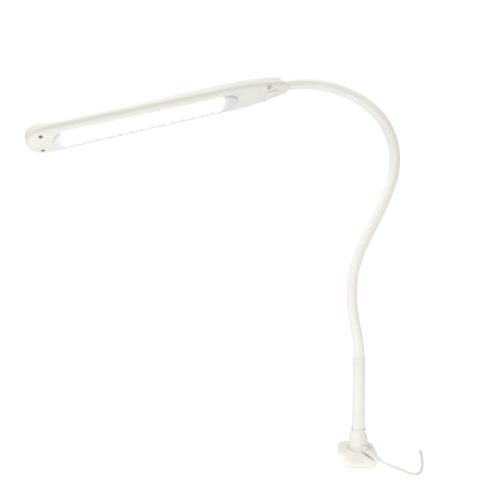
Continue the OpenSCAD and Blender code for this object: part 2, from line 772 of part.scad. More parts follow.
tact_size = 6;
tact_t = 2.6;
plunger_r = 1.7;
travel = 0.8;
module tact_switch() {
    color([0.15, 0.15, 0.16]) in_head() {
        translate([button_x - tact_size / 2, -tact_size / 2, driver_z - tact_t]) cube([tact_size, tact_size, tact_t]);
    }
}

button_proud = 1.8;
lip_w = 0.9;
module button_outline(grow = 0) {
    rounded(-button_len / 2 - grow, button_len / 2 + grow, -button_w / 2 - grow, button_w / 2 + grow, 2.4);
}
module switch_button() {
    color(white) in_head() translate([button_x, 0, 0]) {
        translate([0, 0, -head_down - button_proud]) linear_extrude(head_wall + button_proud + 0.2)
            button_outline();
        // the lip that keeps the button in
        translate([0, 0, floor_z + 0.2]) linear_extrude(0.8) button_outline(lip_w);
        translate([0, 0, floor_z]) cylinder(h = driver_z - tact_t - travel - 0.1 - floor_z, r = plunger_r);
    }
}

module head_wires() {
    color([0.75, 0.2, 0.2]) in_head() for (y = [-3, 3]) {
        top = driver_z + driver_t + 0.8;
        low = board_z + board_t + 0.8;
        sweep([[56, y, top], [60, y, top + 0.4], [65, y, top + 0.4], [70, y, (top + low) / 2 + 0.3],
            [76, y, low + 0.9], [82, y, low + 0.3], [86, y, low]], [for (i = [0 : 6]) 0.7], 8);
    }
}

// Threaded stub on the core's end, through the bulkhead, with its nut
neck_nut_r = 5.4;
neck_nut_h = 1.5;
module along_head(x) {
    in_head() translate([x, 0, 0]) rotate([0, 90, 0]) children();
}
module neck_stub() {
    color(steel) along_head(bulkhead_x - stub_flange) difference() {
        union() {
            cylinder(h = stub_flange, r = 6.2);
            cylinder(h = stub_flange + bulkhead_t + neck_nut_h + 0.6, r = stub_d / 2);
        }
        translate([0, 0, -1]) cylinder(h = 30, r = lead_d / 2 + 0.4);
    }
}
module neck_nut() {
    color(steel) along_head(bulkhead_x + bulkhead_t + run_clear) difference() {
        cylinder(h = neck_nut_h, r = neck_nut_r, $fn = 6);
        translate([0, 0, -1]) cylinder(h = 4, r = stub_d / 2 + knob_bore_clear);
    }
}

// ---- Cord ----
// The hank is wound in long turns with round ends; the cord comes down into its outermost turn
hank_in = [97, 32.2];
hank_r = hank_bend + (hank_rows - 1) * cord_d;
hank_out = hank_r + cord_d / 2;
hank_t = hank_layers * cord_d;
hank_x = hank_in.x + hank_r;
hank_y = hank_in.y + (hank_t - cord_d) / 2;
hank_top = -20;
hank_low = hank_top - hank_out - hank_run;
hank_meet = hank_top - hank_out + sqrt(pow(hank_out, 2) - pow(hank_r - cord_d / 2, 2)) + seat_clear;

// The route of the cord: out of the strain relief, across the table and over its edge to the hank.
// The first three points are inside the strain relief
function relief_at(d) = [0, 0, relief_z] + d * relief_dir;
cord_lie = cord_d / 2 + 0.05;
cord_path = concat([for (d = [relief_root + seat_clear, relief_end - 6, relief_end + 3]) relief_at(d)],
    [[29, -43.5, 12.6], [36, -47, 10.8], [43, -48.6, 8.6], [49, -49.7, 6.4], [55, -50.6, 4.2],
    [61, -51, cord_lie + 0.5], [66.5, -50, cord_lie], [72, -45, cord_lie], [77.6, -34.4, cord_lie],
    [83.4, -18.6, cord_lie], [88.4, -2, cord_lie], [92.4, 13, cord_lie], [94.4, 22, cord_lie],
    [95.2, 25.9, 1.5], [95.9, 29.2, -0.7], [96.4, 31.4, -4], [96.8, 32.2, -7.8],
    [hank_in.x, hank_in.y, -16], [hank_in.x, hank_in.y, hank_meet]]);

module cord() {
    color(white) sweep(cord_path, same(cord_d / 2, len(cord_path)), 8);
}

module in_hank(z) {
    translate([hank_x, hank_y, z]) children();
}

module cord_hank() {
    color(white) in_hank(hank_low) rotate([90, 0, 0]) linear_extrude(hank_t, center = true) {
        translate([-hank_out, 0]) square([2 * hank_out, hank_run]);
        for (y = [0, hank_run]) translate([0, y]) circle(hank_out);
    }
}

// The tie is near the top of the straight runs, and the plug lies on the hank's back below it
tie_w = 8;
tie_t = 1.2;
tie_gap = 0.05;
module hank_tie() {
    w = 2 * hank_out + 2 * tie_gap;
    t = hank_t + 2 * tie_gap;
    color(rubber_white) in_hank(hank_top - hank_out - tie_w / 2) difference() {
        cube([w + 2 * tie_t, t + 2 * tie_t, tie_w], center = true);
        cube([w, t, tie_w + 1], center = true);
    }
}

plug_w = 16;
plug_t = 8;
plug_grip_len = 20;
plug_lift = 22;
shell_w = 12;
shell_h = 4.5;
shell_len = 12;
shell_wall = 0.4;
module on_hank_back(z) {
    translate([hank_x + hank_r, hank_y + hank_t / 2 + seat_clear + plug_t / 2, hank_low + plug_lift + z])
        children();
}
module plug_grip() {
    color(white) on_hank_back(plug_grip_len / 2) cube([plug_w, plug_t, plug_grip_len], center = true);
}
module plug_shell() {
    color(steel) on_hank_back(plug_grip_len + run_clear) difference() {
        translate([-shell_w / 2, -shell_h / 2, 0]) cube([shell_w, shell_h, shell_len]);
        translate([-shell_w / 2 + shell_wall, -shell_h / 2 + shell_wall, 2])
            cube([shell_w - 2 * shell_wall, shell_h - 2 * shell_wall, shell_len]);
    }
}

base_cover();
base_pad();
clamp_strap();
strap_screws();
collar();
pole();
pole_stud();
pole_nut();
pole_lead();
neck_ferrule();
strain_relief();
clamp_bush();
clamp_screw();
clamp_knob();
clamp_foot();
foot_pad();
foot_clip();
neck_sleeve_1();
neck_sleeve_2();
neck_sleeve_3();
neck_sleeve_4();
neck_sleeve_5();
neck_sleeve_6();
neck_sleeve_7();
neck_core_1();
neck_core_2();
neck_core_3();
neck_core_4();
neck_core_5();
neck_core_6();
neck_core_7();
neck_lead_1();
neck_lead_2();
neck_lead_3();
neck_lead_4();
neck_lead_5();
neck_lead_6();
neck_lead_7();
head_housing();
head_lid();
head_screws();
lens();
led_tray();
led_board();
leds();
driver_board();
driver_parts();
tact_switch();
switch_button();
head_wires();
neck_stub();
neck_nut();
cord();
cord_hank();
hank_tie();
plug_grip();
plug_shell();
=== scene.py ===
"""Clamp-on gooseneck reading lamp: the looks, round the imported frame. Metres, +Z up."""
import json
import math

import bpy
from mathutils import Matrix, Vector


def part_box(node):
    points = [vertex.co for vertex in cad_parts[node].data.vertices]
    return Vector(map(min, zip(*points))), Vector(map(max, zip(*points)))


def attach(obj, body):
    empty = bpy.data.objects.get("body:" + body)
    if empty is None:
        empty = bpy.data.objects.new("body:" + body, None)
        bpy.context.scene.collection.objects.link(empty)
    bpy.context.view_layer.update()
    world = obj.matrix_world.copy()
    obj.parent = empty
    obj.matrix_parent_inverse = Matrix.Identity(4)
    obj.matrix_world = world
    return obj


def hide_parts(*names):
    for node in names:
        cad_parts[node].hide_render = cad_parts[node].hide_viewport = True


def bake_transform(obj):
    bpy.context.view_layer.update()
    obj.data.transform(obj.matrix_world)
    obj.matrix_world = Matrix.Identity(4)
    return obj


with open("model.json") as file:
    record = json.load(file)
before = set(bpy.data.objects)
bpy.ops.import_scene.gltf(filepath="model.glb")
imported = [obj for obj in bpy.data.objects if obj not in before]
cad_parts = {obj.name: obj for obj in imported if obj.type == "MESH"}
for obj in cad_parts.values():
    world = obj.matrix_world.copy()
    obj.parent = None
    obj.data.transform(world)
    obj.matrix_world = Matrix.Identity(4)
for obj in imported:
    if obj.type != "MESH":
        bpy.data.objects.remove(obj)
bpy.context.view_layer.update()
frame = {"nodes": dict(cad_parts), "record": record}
MM = 0.001


# ---- Camera ----
def make_camera():
    """Level with the head's underside, a little above the table, looking 2 degrees down"""
    data = bpy.data.cameras.new("camera")
    data.lens = 39.6
    data.sensor_width = 36
    data.clip_start = 0.01
    camera = bpy.data.objects.new("camera", data)
    camera.location = (-0.158, -0.760, 0.321)
    camera.rotation_euler = (math.radians(88), 0, 0)
    bpy.context.scene.collection.objects.link(camera)
    bpy.context.scene.camera = camera


make_camera()


# ---- Working with Blender's tools ----
def deselect():
    if bpy.context.object and bpy.context.object.mode == "EDIT":
        bpy.ops.object.mode_set(mode="OBJECT")
    bpy.ops.object.select_all(action="DESELECT")


def take(obj):
    """Selects only obj and makes it the active object"""
    deselect()
    obj.select_set(True)
    bpy.context.view_layer.objects.active = obj
    return obj


def pick(obj, test, kind="vertices"):
    """In edit mode, selects the vertices, edges or faces whose middle passes the test"""
    bpy.ops.mesh.select_mode(type={"vertices": "VERT", "edges": "EDGE", "polygons": "FACE"}[kind])
    bpy.ops.mesh.select_all(action="DESELECT")
    bpy.ops.object.mode_set(mode="OBJECT")
    mesh = obj.data
    for part in getattr(mesh, kind):
        if kind == "vertices":
            part.select = test(part.co)
        elif kind == "edges":
            a, b = (mesh.vertices[i].co for i in part.vertices)
            part.select = test(a, b)
        else:
            part.select = test(part.center, part.normal)
    bpy.ops.object.mode_set(mode="EDIT")


def modify(obj, kind, **settings):
    """Adds a modifier to obj and applies it"""
    take(obj)
    modifier = obj.modifiers.new(kind.title(), kind)
    for key, value in settings.items():
        setattr(modifier, key, value)
    bpy.ops.object.modifier_apply(modifier=modifier.name)
    return obj


def cut(obj, *cutters):
    """Cuts each cutter out of obj, and deletes it"""
    for cutter in cutters:
        modify(obj, "BOOLEAN", operation="DIFFERENCE", object=cutter, solver="EXACT")
        bpy.data.objects.remove(cutter)
    return obj


def soften(obj, width, segments=3, angle=30):
    """Rounds the edges sharper than angle, and shades the rest smooth"""
    modify(obj, "BEVEL", width=width, segments=segments, limit_method="ANGLE",
           angle_limit=math.radians(angle), harden_normals=False, use_clamp_overlap=True)
    return smooth(obj)


def smooth(obj, angle=35):
    take(obj)
    bpy.ops.object.shade_smooth_by_angle(angle=math.radians(angle))
    return obj


def outward(obj):
    """Merges doubles and turns all faces outwards"""
    take(obj)
    bpy.ops.object.mode_set(mode="EDIT")
    bpy.ops.mesh.select_all(action="SELECT")
    bpy.ops.mesh.remove_doubles(threshold=1e-6)
    bpy.ops.mesh.normals_make_consistent(inside=False)
    bpy.ops.object.mode_set(mode="OBJECT")
    return obj


def move(obj, matrix):
    """Moves the mesh itself, so that the object stays at the origin"""
    obj.data.transform(matrix)
    if matrix.determinant() < 0:
        obj.data.flip_normals()
    return obj


def join(name, parts):
    take(parts[0])
    for part in parts[1:]:
        part.select_set(True)
    if len(parts) > 1:
        bpy.ops.object.join()
    parts[0].name = parts[0].data.name = name
    return parts[0]


def block(name, low, high):
    """A box between two corners"""
    deselect()
    low, high = Vector(low), Vector(high)
    bpy.ops.mesh.primitive_cube_add(size=1, location=(low + high) / 2, scale=high - low)
    obj = bpy.context.object
    obj.name = obj.data.name = name
    bpy.ops.object.transform_apply(location=True, rotation=True, scale=True)
    return obj


def turned(name, rings, sides=64, closed=False, fill=True):
    """A piece turned about Z: a circle extruded from ring to ring of (radius, height). A closed one
    joins its last ring to its first, and a filled one gets a face over each end."""
    deselect()
    radius, height = rings[0]
    bpy.ops.mesh.primitive_circle_add(vertices=sides, radius=radius, location=(0, 0, height))
    obj = bpy.context.object
    obj.name = obj.data.name = name
    bpy.ops.object.transform_apply(location=True)
    bpy.ops.object.mode_set(mode="EDIT")
    bpy.ops.mesh.select_all(action="SELECT")
    if fill and not closed:
        bpy.ops.mesh.edge_face_add()
        bpy.ops.mesh.select_mode(type="EDGE")
        bpy.ops.mesh.select_all(action="SELECT")
    for next_radius, next_height in rings[1:] + ([rings[0]] if closed else []):
        bpy.ops.mesh.extrude_edges_move(
            TRANSFORM_OT_translate={"value": (0, 0, next_height - height)})
        scale = next_radius / radius
        bpy.ops.transform.resize(value=(scale, scale, 1), center_override=(0, 0, next_height))
        radius, height = next_radius, next_height
    if fill and not closed:
        bpy.ops.mesh.edge_face_add()
    bpy.ops.object.mode_set(mode="OBJECT")
    return outward(obj)


def arc(centre, radius, start, end, steps=6):
    """Ring points along an arc of (radius, height), angles in degrees from the radius direction"""
    return [(centre[0] + radius * math.cos(math.radians(start + (end - start) * i / steps)),
             centre[1] + radius * math.sin(math.radians(start + (end - start) * i / steps)))
            for i in range(steps + 1)]


def outline(name, points, low, high):
    """A flat outline, a ring of (x, y), extruded from one height to another"""
    deselect()
    bpy.ops.mesh.primitive_circle_add(vertices=len(points), radius=1, fill_type="NGON")
    obj = bpy.context.object
    obj.name = obj.data.name = name
    for vertex, (x, y) in zip(obj.data.vertices, points):
        vertex.co = (x, y, low)
    bpy.ops.object.mode_set(mode="EDIT")
    bpy.ops.mesh.select_all(action="SELECT")
    bpy.ops.mesh.extrude_region_move(TRANSFORM_OT_translate={"value": (0, 0, high - low)})
    bpy.ops.object.mode_set(mode="OBJECT")
    return outward(obj)


def bar_points(x0, x1, width, steps=16):
    """A bar along X with round ends"""
    r = width / 2
    ring = []
    for centre, start in ((x1 - r, -90), (x0 + r, 90)):
        for i in range(steps + 1):
            a = math.radians(start + 180 * i / steps)
            ring.append((centre + r * math.cos(a), r * math.sin(a)))
    return ring


def rounded_points(x0, x1, y0, y1, r, steps=10):
    """A rectangle with round corners"""
    ring = []
    for cx, cy, start in ((x1 - r, y1 - r, 0), (x0 + r, y1 - r, 90), (x0 + r, y0 + r, 180),
                          (x1 - r, y0 + r, 270)):
        for i in range(steps + 1):
            a = math.radians(start + 90 * i / steps)
            ring.append((cx + r * math.cos(a), cy + r * math.sin(a)))
    return ring


def finish(obj, material, slot, body, *nodes):
    """Gives a piece its finish and its body, and lets it stand for CAD nodes"""
    obj.data.materials.clear()
    obj.data.materials.append(material)
    if body:
        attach(obj, body)
    if nodes:
        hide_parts(*nodes)
    return obj


# ---- Materials ----
def new_material(name, colour, roughness, **sockets):
    """A Principled material; returns its node tree and its shader"""
    material = bpy.data.materials.new(name)
    material.use_nodes = True
    shader = material.node_tree.nodes["Principled BSDF"]
    shader.inputs["Base Color"].default_value = (*colour, 1)
    shader.inputs["Roughness"].default_value = roughness
    for key, value in sockets.items():
        shader.inputs[key.replace("_", " ")].default_value = value
    return material, material.node_tree, shader


def add(tree, kind, **settings):
    node = tree.nodes.new(kind)
    for key, value in settings.items():
        if hasattr(node, key):
            setattr(node, key, value)
        else:
            node.inputs[key.replace("_", " ")].default_value = value
    return node


def noise(tree, scale, detail=3.0, stretch=None):
    """Noise on Object coordinates, stretched along an axis where the finish runs that way"""
    place = add(tree, "ShaderNodeTexCoord")
    texture = add(tree, "ShaderNodeTexNoise", Scale=scale, Detail=detail)
    source = place.outputs["Object"]
    if stretch:
        mapping = add(tree, "ShaderNodeMapping", Scale=stretch)
        tree.links.new(source, mapping.inputs["Vector"])
        source = mapping.outputs["Vector"]
    tree.links.new(source, texture.inputs["Vector"])
    return texture.outputs["Fac"]


def vary(tree, factor, low, high, socket):
    """Runs a socket between two numbers or two colours by a factor"""
    if isinstance(low, tuple):
        node = add(tree, "ShaderNodeValToRGB")
        node.color_ramp.elements[0].position = 0.3
        node.color_ramp.elements[1].position = 0.7
        node.color_ramp.elements[0].color = (*low, 1)
        node.color_ramp.elements[1].color = (*high, 1)
        tree.links.new(factor, node.inputs["Fac"])
        tree.links.new(node.outputs["Color"], socket)
    else:
        node = add(tree, "ShaderNodeMapRange")
        node.inputs["From Min"].default_value = 0.3
        node.inputs["From Max"].default_value = 0.7
        node.inputs["To Min"].default_value = low
        node.inputs["To Max"].default_value = high
        tree.links.new(factor, node.inputs["Value"])
        tree.links.new(node.outputs["Result"], socket)


def bump(tree, shader, height, strength, distance):
    node = add(tree, "ShaderNodeBump", Strength=strength, Distance=distance)
    tree.links.new(height, node.inputs["Height"])
    tree.links.new(node.outputs["Normal"], shader.inputs["Normal"])
    return node


def shade(colour, amount):
    return tuple(c * amount for c in colour)


def moulded(name, colour, roughness, grain=900, depth=0.25, **sockets):
    """Moulded plastic: a fine spark-eroded grain and a slow drift of tone and gloss"""
    material, tree, shader = new_material(name, colour, roughness, **sockets)
    drift = noise(tree, 22, 2)
    vary(tree, drift, shade(colour, 0.972), shade(colour, 1.01), shader.inputs["Base Color"])
    vary(tree, noise(tree, 60, 4), roughness * 0.88, roughness * 1.12, shader.inputs["Roughness"])
    bump(tree, shader, noise(tree, grain, 2), depth, 0.00006)
    return material


def metal(name, colour, roughness, stretch, scale=700):
    """Metal with fine marks that run one way"""
    material, tree, shader = new_material(name, colour, roughness, Metallic=1.0)
    marks = noise(tree, scale, 4, stretch)
    vary(tree, marks, shade(colour, 0.86), shade(colour, 1.05), shader.inputs["Base Color"])
    vary(tree, noise(tree, 120, 4), roughness * 0.8, roughness * 1.3, shader.inputs["Roughness"])
    bump(tree, shader, marks, 0.15, 0.00004)
    return material


WARM_WHITE = (0.88, 0.857, 0.81)
white_plastic = moulded("white_plastic", WARM_WHITE, 0.34, grain=1400, depth=0.06,
                        Coat_Weight=0.15, Coat_Roughness=0.2, Subsurface_Weight=0.05)
pole_paint = moulded("pole_paint", (0.86, 0.845, 0.805), 0.3, grain=1800, depth=0.15,
                     Coat_Weight=0.3, Coat_Roughness=0.22)
neck_skin = moulded("neck_skin", (0.9, 0.885, 0.85), 0.42, grain=1600, depth=0.07)
soft_rubber = moulded("soft_rubber", (0.7, 0.69, 0.66), 0.7, grain=1200, depth=0.5)
cord_jacket = moulded("cord_jacket", (0.8, 0.79, 0.76), 0.42, grain=1500, depth=0.15)
wire_jacket = moulded("wire_jacket", (0.8, 0.8, 0.77), 0.5)
wire_red = moulded("wire_red", (0.55, 0.05, 0.04), 0.4)
tie_strap = moulded("tie_strap", (0.7, 0.69, 0.67), 0.6)
part_black = moulded("part_black", (0.025, 0.025, 0.028), 0.45, depth=0.6)
board_white = moulded("board_white", (0.85, 0.85, 0.83), 0.4)
board_green = moulded("board_green", (0.03, 0.16, 0.07), 0.35)
strap_paint = moulded("strap_paint", (0.83, 0.82, 0.79), 0.36, grain=500, depth=0.5)
plated_steel = metal("plated_steel", (0.62, 0.63, 0.64), 0.28, (1, 1, 6))
wound_steel = metal("wound_steel", (0.45, 0.45, 0.46), 0.35, (1, 1, 30), 200)
tray_aluminium = metal("tray_aluminium", (0.75, 0.76, 0.77), 0.35, (1, 12, 12))
contact_gold = metal("contact_gold", (0.85, 0.6, 0.25), 0.25, (1, 1, 1))


# ---- Cord, with its hank and plug: one length of 1.8 m ----
CORD_D = 0.0045
HANK_TURNS = 6.5
POINTS_A_TURN = 32


def relief_axis():
    """The strain relief's centreline: a point on the pole's axis, and its direction"""
    heading, dip = math.radians(32), math.radians(10)
    way = Vector((math.sin(heading) * math.cos(dip), -math.cos(heading) * math.cos(dip), -math.sin(dip)))
    return Vector((0, 0, 0.0216)), way


def cord_route():
    """From inside the strain relief, across the table, over its edge and down to the hank"""
    start, way = relief_axis()
    lie = 2.3
    inside = [start + way * d * MM for d in (10.1, 18, 26, 34.5, 43.5)]
    outside = [
        (29, -43.5, 12.6), (36, -47, 10.8), (43, -48.6, 8.6), (49, -49.7, 6.4), (55, -50.6, 4.2),
        (61, -51, lie + 0.5), (66.5, -50, lie), (72, -45, lie), (77.6, -34.4, lie), (83.4, -18.6, lie),
        (88.4, -2, lie), (92.4, 13, lie), (94.4, 22, lie), (95.2, 25.9, 1.5), (95.9, 29.2, -0.7),
        (96.4, 31.4, -4), (96.8, 32.2, -7.8), (97, 32.2, -16), (97, 32.2, -27.4)]
    return inside + [Vector(p) * MM for p in outside]


def eased(t):
    t = min(1, max(0, t))
    return t * t * (3 - 2 * t)


def hank_route():
    """Long turns with round ends, two beside each other in each layer, then out to the plug"""
    low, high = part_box("cord_hank")
    middle = (low + high) / 2
    outer = (high.x - low.x - CORD_D) / 2
    straight = (high.z - low.z - high.x + low.x) / 2
    first_layer = low.y + CORD_D / 2
    turn_radius = [outer - CORD_D * ((turn + turn // 2) % 2) for turn in range(8)]
    points = []
    for step in range(int(HANK_TURNS * POINTS_A_TURN) + 1):
        turn, share = divmod(step / POINTS_A_TURN, 1)
        turn = int(turn)
        change = eased((share - 0.75) / 0.25)
        radius = turn_radius[turn] + (turn_radius[turn + 1] - turn_radius[turn]) * change
        layer = turn // 2 + ((turn + 1) // 2 - turn // 2) * change
        if share < 0.25:
            x, z = -radius, straight * (1 - 8 * share)
        elif share < 0.5:
            a = 4 * math.pi * (share - 0.25)
            x, z = -radius * math.cos(a), -straight - radius * math.sin(a)
        elif share < 0.75:
            x, z = radius, straight * (8 * (share - 0.5) - 1)
        else:
            a = 4 * math.pi * (share - 0.75)
            x, z = radius * math.cos(a), straight + radius * math.sin(a)
        points.append(Vector((middle.x + x, first_layer + layer * CORD_D, middle.z + z)))
    plug_low, plug_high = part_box("plug_grip")
    end = Vector(((plug_low.x + plug_high.x) / 2, (plug_low.y + plug_high.y) / 2, plug_low.z))
    start = points[-1]
    steps = 8
    for i in range(1, steps + 1):
        t = i / steps
        aside = start.lerp(end, eased(t))
        points.append(Vector((aside.x, aside.y, start.z + (end.z - start.z) * t)))
    return points


def make_cord():
    points = cord_route() + hank_route()
    data = bpy.data.curves.new("mains_cord", "CURVE")
    data.dimensions = "3D"
    data.resolution_u = data.render_resolution_u = 6
    data.bevel_depth = CORD_D / 2
    data.bevel_resolution = 6
    data.use_fill_caps = True
    spline = data.splines.new("BEZIER")
    spline.bezier_points.add(len(points) - 1)
    for bezier, point in zip(spline.bezier_points, points):
        bezier.co = point
        bezier.handle_left_type = bezier.handle_right_type = "AUTO"
    cord = bpy.data.objects.new("mains_cord", data)
    bpy.context.scene.collection.objects.link(cord)
    finish(cord, cord_jacket, "cord_jacket", "stand", "cord", "cord_hank")
    return cord, points[0]


def make_plug():
    """A moulded grip with ribs for the fingers, and the metal shell of its plug"""
    low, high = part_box("plug_grip")
    grip = block("usb_grip", low, high)
    grip = soften(grip, 0.0022, 4)
    for i in range(5):
        z = low.z + (4.5 + 2.4 * i) * MM
        for y in (low.y, high.y):
            groove = block("groove", (low.x + 0.003, y - 0.0004, z - 0.0005),
                           (high.x - 0.003, y + 0.0004, z + 0.0005))
            cut(grip, groove)
    grip = soften(grip, 0.00012, 1, 50)
    finish(grip, cord_jacket, "cord_jacket", "stand", "plug_grip")
    low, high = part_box("plug_shell")
    wall = 0.0004
    shell = block("usb_shell", low, high)
    bore = block("bore", (low.x + wall, low.y + wall, low.z + 0.002),
                 (high.x - wall, high.y - wall, high.z + 0.001))
    windows = [block("window", (x - 0.0012, low.y - 0.001, high.z - 0.0062),
                     (x + 0.0012, high.y + 0.001, high.z - 0.0038))
               for x in (low.x + 0.0035, high.x - 0.0035)]
    cut(shell, bore, *windows)
    soften(shell, 0.00012, 2)
    finish(shell, plated_steel, "plated_steel", "stand", "plug_shell")
    tongue = block("usb_tongue", (low.x + 0.0008, low.y + 0.0006, low.z + 0.0022),
                   (high.x - 0.0008, low.y + 0.0024, high.z - 0.0006))
    soften(tongue, 0.0002, 2)
    finish(tongue, board_white, "board_white", "stand")
    contacts = [block("contact", (low.x + (1.9 + 2.5 * i) * MM, low.y + 0.0024, low.z + 0.005),
                      (low.x + (3.1 + 2.5 * i) * MM, low.y + 0.0025, high.z - 0.0012))
                for i in range(4)]
    contacts = join("usb_contacts", contacts)
    soften(contacts, 0.00003, 1)
    finish(contacts, contact_gold, "plated_steel", "stand")
    return [grip, shell, tongue, contacts]


def make_tie():
    """A soft strap round the hank"""
    low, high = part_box("hank_tie")
    inner_low, inner_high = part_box("cord_hank")
    tie = outline("hank_strap", rounded_points(low.x, high.x, low.y, high.y, 0.0035), low.z, high.z)
    clear = 0.00005
    inside = rounded_points(inner_low.x - clear, inner_high.x + clear, inner_low.y - clear,
                            inner_high.y + clear, 0.0024)
    hole = outline("hole", inside, low.z - 0.001, high.z + 0.001)
    cut(tie, hole)
    soften(tie, 0.0003, 2)
    finish(tie, tie_strap, "tie_strap", "stand", "hank_tie")
    return tie


cord, cord_exit = make_cord()
make_plug() + [make_tie()]


# ---- Stage and light ----
def make_stage():
    """A pale table top, its back edge against the strap"""
    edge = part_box("clamp_strap")[1].y - 0.003
    table = block("table_top", (-0.8, -0.7, -0.025), (0.6, edge, 0))
    soften(table, 0.0015, 3)
    material, tree, shader = new_material("table_white", (0.9, 0.9, 0.895), 0.6)
    vary(tree, noise(tree, 4, 4), 0.55, 0.65, shader.inputs["Roughness"])
    shader.inputs["Emission Color"].default_value = (1, 1, 1, 1)
    shader.inputs["Emission Strength"].default_value = 0.45
    table.data.materials.append(material)


def make_light(name, place, target, size, power, colour=(1, 1, 1)):
    data = bpy.data.lights.new(name, "AREA")
    data.shape = "DISK"
    data.size = size
    data.energy = power
    data.color = colour
    light = bpy.data.objects.new(name, data)
    light.location = place
    light.rotation_euler = (Vector(target) - Vector(place)).to_track_quat("-Z", "Y").to_euler()
    bpy.context.scene.collection.objects.link(light)


def make_world():
    """White all round to the eye, a little dimmer as a light"""
    world = bpy.data.worlds.new("studio")
    bpy.context.scene.world = world
    world.use_nodes = True
    tree = world.node_tree
    lit = tree.nodes["Background"]
    lit.inputs["Color"].default_value = (1.0, 0.985, 0.955, 1)
    lit.inputs["Strength"].default_value = 0.62
    seen = add(tree, "ShaderNodeBackground")
    seen.inputs["Color"].default_value = (1, 1, 1, 1)
    seen.inputs["Strength"].default_value = 1.0
    path = add(tree, "ShaderNodeLightPath")
    mix = add(tree, "ShaderNodeMixShader")
    tree.links.new(path.outputs["Is Camera Ray"], mix.inputs["Fac"])
    tree.links.new(lit.outputs["Background"], mix.inputs[1])
    tree.links.new(seen.outputs["Background"], mix.inputs[2])
    tree.links.new(mix.outputs["Shader"], tree.nodes["World Output"].inputs["Surface"])


make_stage()
make_world()
make_light("key", (-0.5, -0.25, 1.6), (-0.05, 0, 0.3), 0.9, 10, (1, 0.985, 0.96))
make_light("fill", (-1.2, -0.9, 0.5), (0, 0, 0.2), 0.9, 1.2)
bpy.context.scene.view_settings.view_transform = "Standard"
bpy.context.scene.view_settings.exposure = 0.08


# ---- Finishes of the CAD's own pieces, by slot ----
FINISHES = {
    "white_plastic": white_plastic, "pole_paint": pole_paint, "neck_skin": neck_skin,
    "wound_steel": wound_steel, "wire_jacket": wire_jacket, "soft_rubber": soft_rubber,
    "strap_steel": strap_paint, "plated_steel": plated_steel, "cord_jacket": cord_jacket,
    "tie_strap": tie_strap, "tray_aluminium": tray_aluminium, "board_white": board_white,
    "board_green": board_green, "part_black": part_black, "wire_red": wire_red}


def finish_cad_nodes():
    for entry in frame["record"]["subparts"]:
        material = FINISHES.get(entry["material_slot"], white_plastic)
        mesh = frame["nodes"][entry["node"]].data
        mesh.materials.clear()
        mesh.materials.append(material)


finish_cad_nodes()


# ---- Puck ----
def make_puck():
    """A rounded block whose top slopes down to the front, with a shallow dish round the collar"""
    low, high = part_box("base_cover")
    front_height, slope_start = 0.0085, -0.012
    puck = outline("puck_cover", rounded_points(low.x, high.x, low.y, high.y, 0.015, 16), low.z, high.z)
    take(puck)
    bpy.ops.object.mode_set(mode="EDIT")
    bpy.ops.mesh.select_all(action="SELECT")
    fall = Vector((0, -(high.z - front_height), slope_start - low.y)).normalized()
    bpy.ops.mesh.bisect(plane_co=(0, slope_start, high.z), plane_no=fall, use_fill=True,
                        clear_outer=True)
    pick(puck, lambda a, b: min(a.z, b.z) > front_height - 1e-5
         and abs(a.y - slope_start) + abs(b.y - slope_start) > 1e-5, "edges")
    bpy.ops.mesh.bevel(offset=0.0024, segments=6, clamp_overlap=False)
    bpy.ops.object.mode_set(mode="OBJECT")
    outward(puck)
    dish_floor, dish_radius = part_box("collar")[0].z, 0.0155
    dish = turned("dish", [(0.001, dish_floor), (dish_radius - 0.0012, dish_floor)]
                  + [(dish_radius - 0.0012 + 0.0012 * math.sin(math.radians(a)),
                      dish_floor + 0.0012 - 0.0012 * math.cos(math.radians(a))) for a in (20, 40, 60)]
                  + [(dish_radius + 0.0085, dish_floor + 0.017)], 96)
    start, way = relief_axis()
    channel = turned("channel", [(0.0055, 0), (0.0055, 0.0405)], 48)
    move(channel, Matrix.Translation(start) @ way.to_track_quat("Z", "Y").to_matrix().to_4x4())
    strap_low, strap_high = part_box("clamp_strap")
    clear = 0.0001
    hollow = block("hollow", (strap_low.x - clear, strap_low.y - 0.002, 0),
                   (strap_high.x + clear, strap_high.y + clear, strap_high.z + clear))
    cut(puck, dish, channel, hollow)
    soften(puck, 0.0007, 3, 28)
    finish(puck, white_plastic, "white_plastic", "stand", "base_cover")


def make_pad():
    """The rubber pad, with grooves in the face that meets the table"""
    low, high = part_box("base_pad")
    ring = rounded_points(low.x, high.x, low.y, high.y + 0.0039, 0.0139, 12)
    ring = [(x, min(y, high.y)) for x, y in ring]
    pad = outline("rubber_pad", ring, low.z, high.z)
    for i in range(-4, 5):
        y = 0.0045 * i
        cut(pad, block("groove", (-0.016, y - 0.0007, -0.001), (0.014, y + 0.0007, 0.0005)))
    soften(pad, 0.0003, 2)
    finish(pad, soft_rubber, "soft_rubber", "stand", "base_pad")


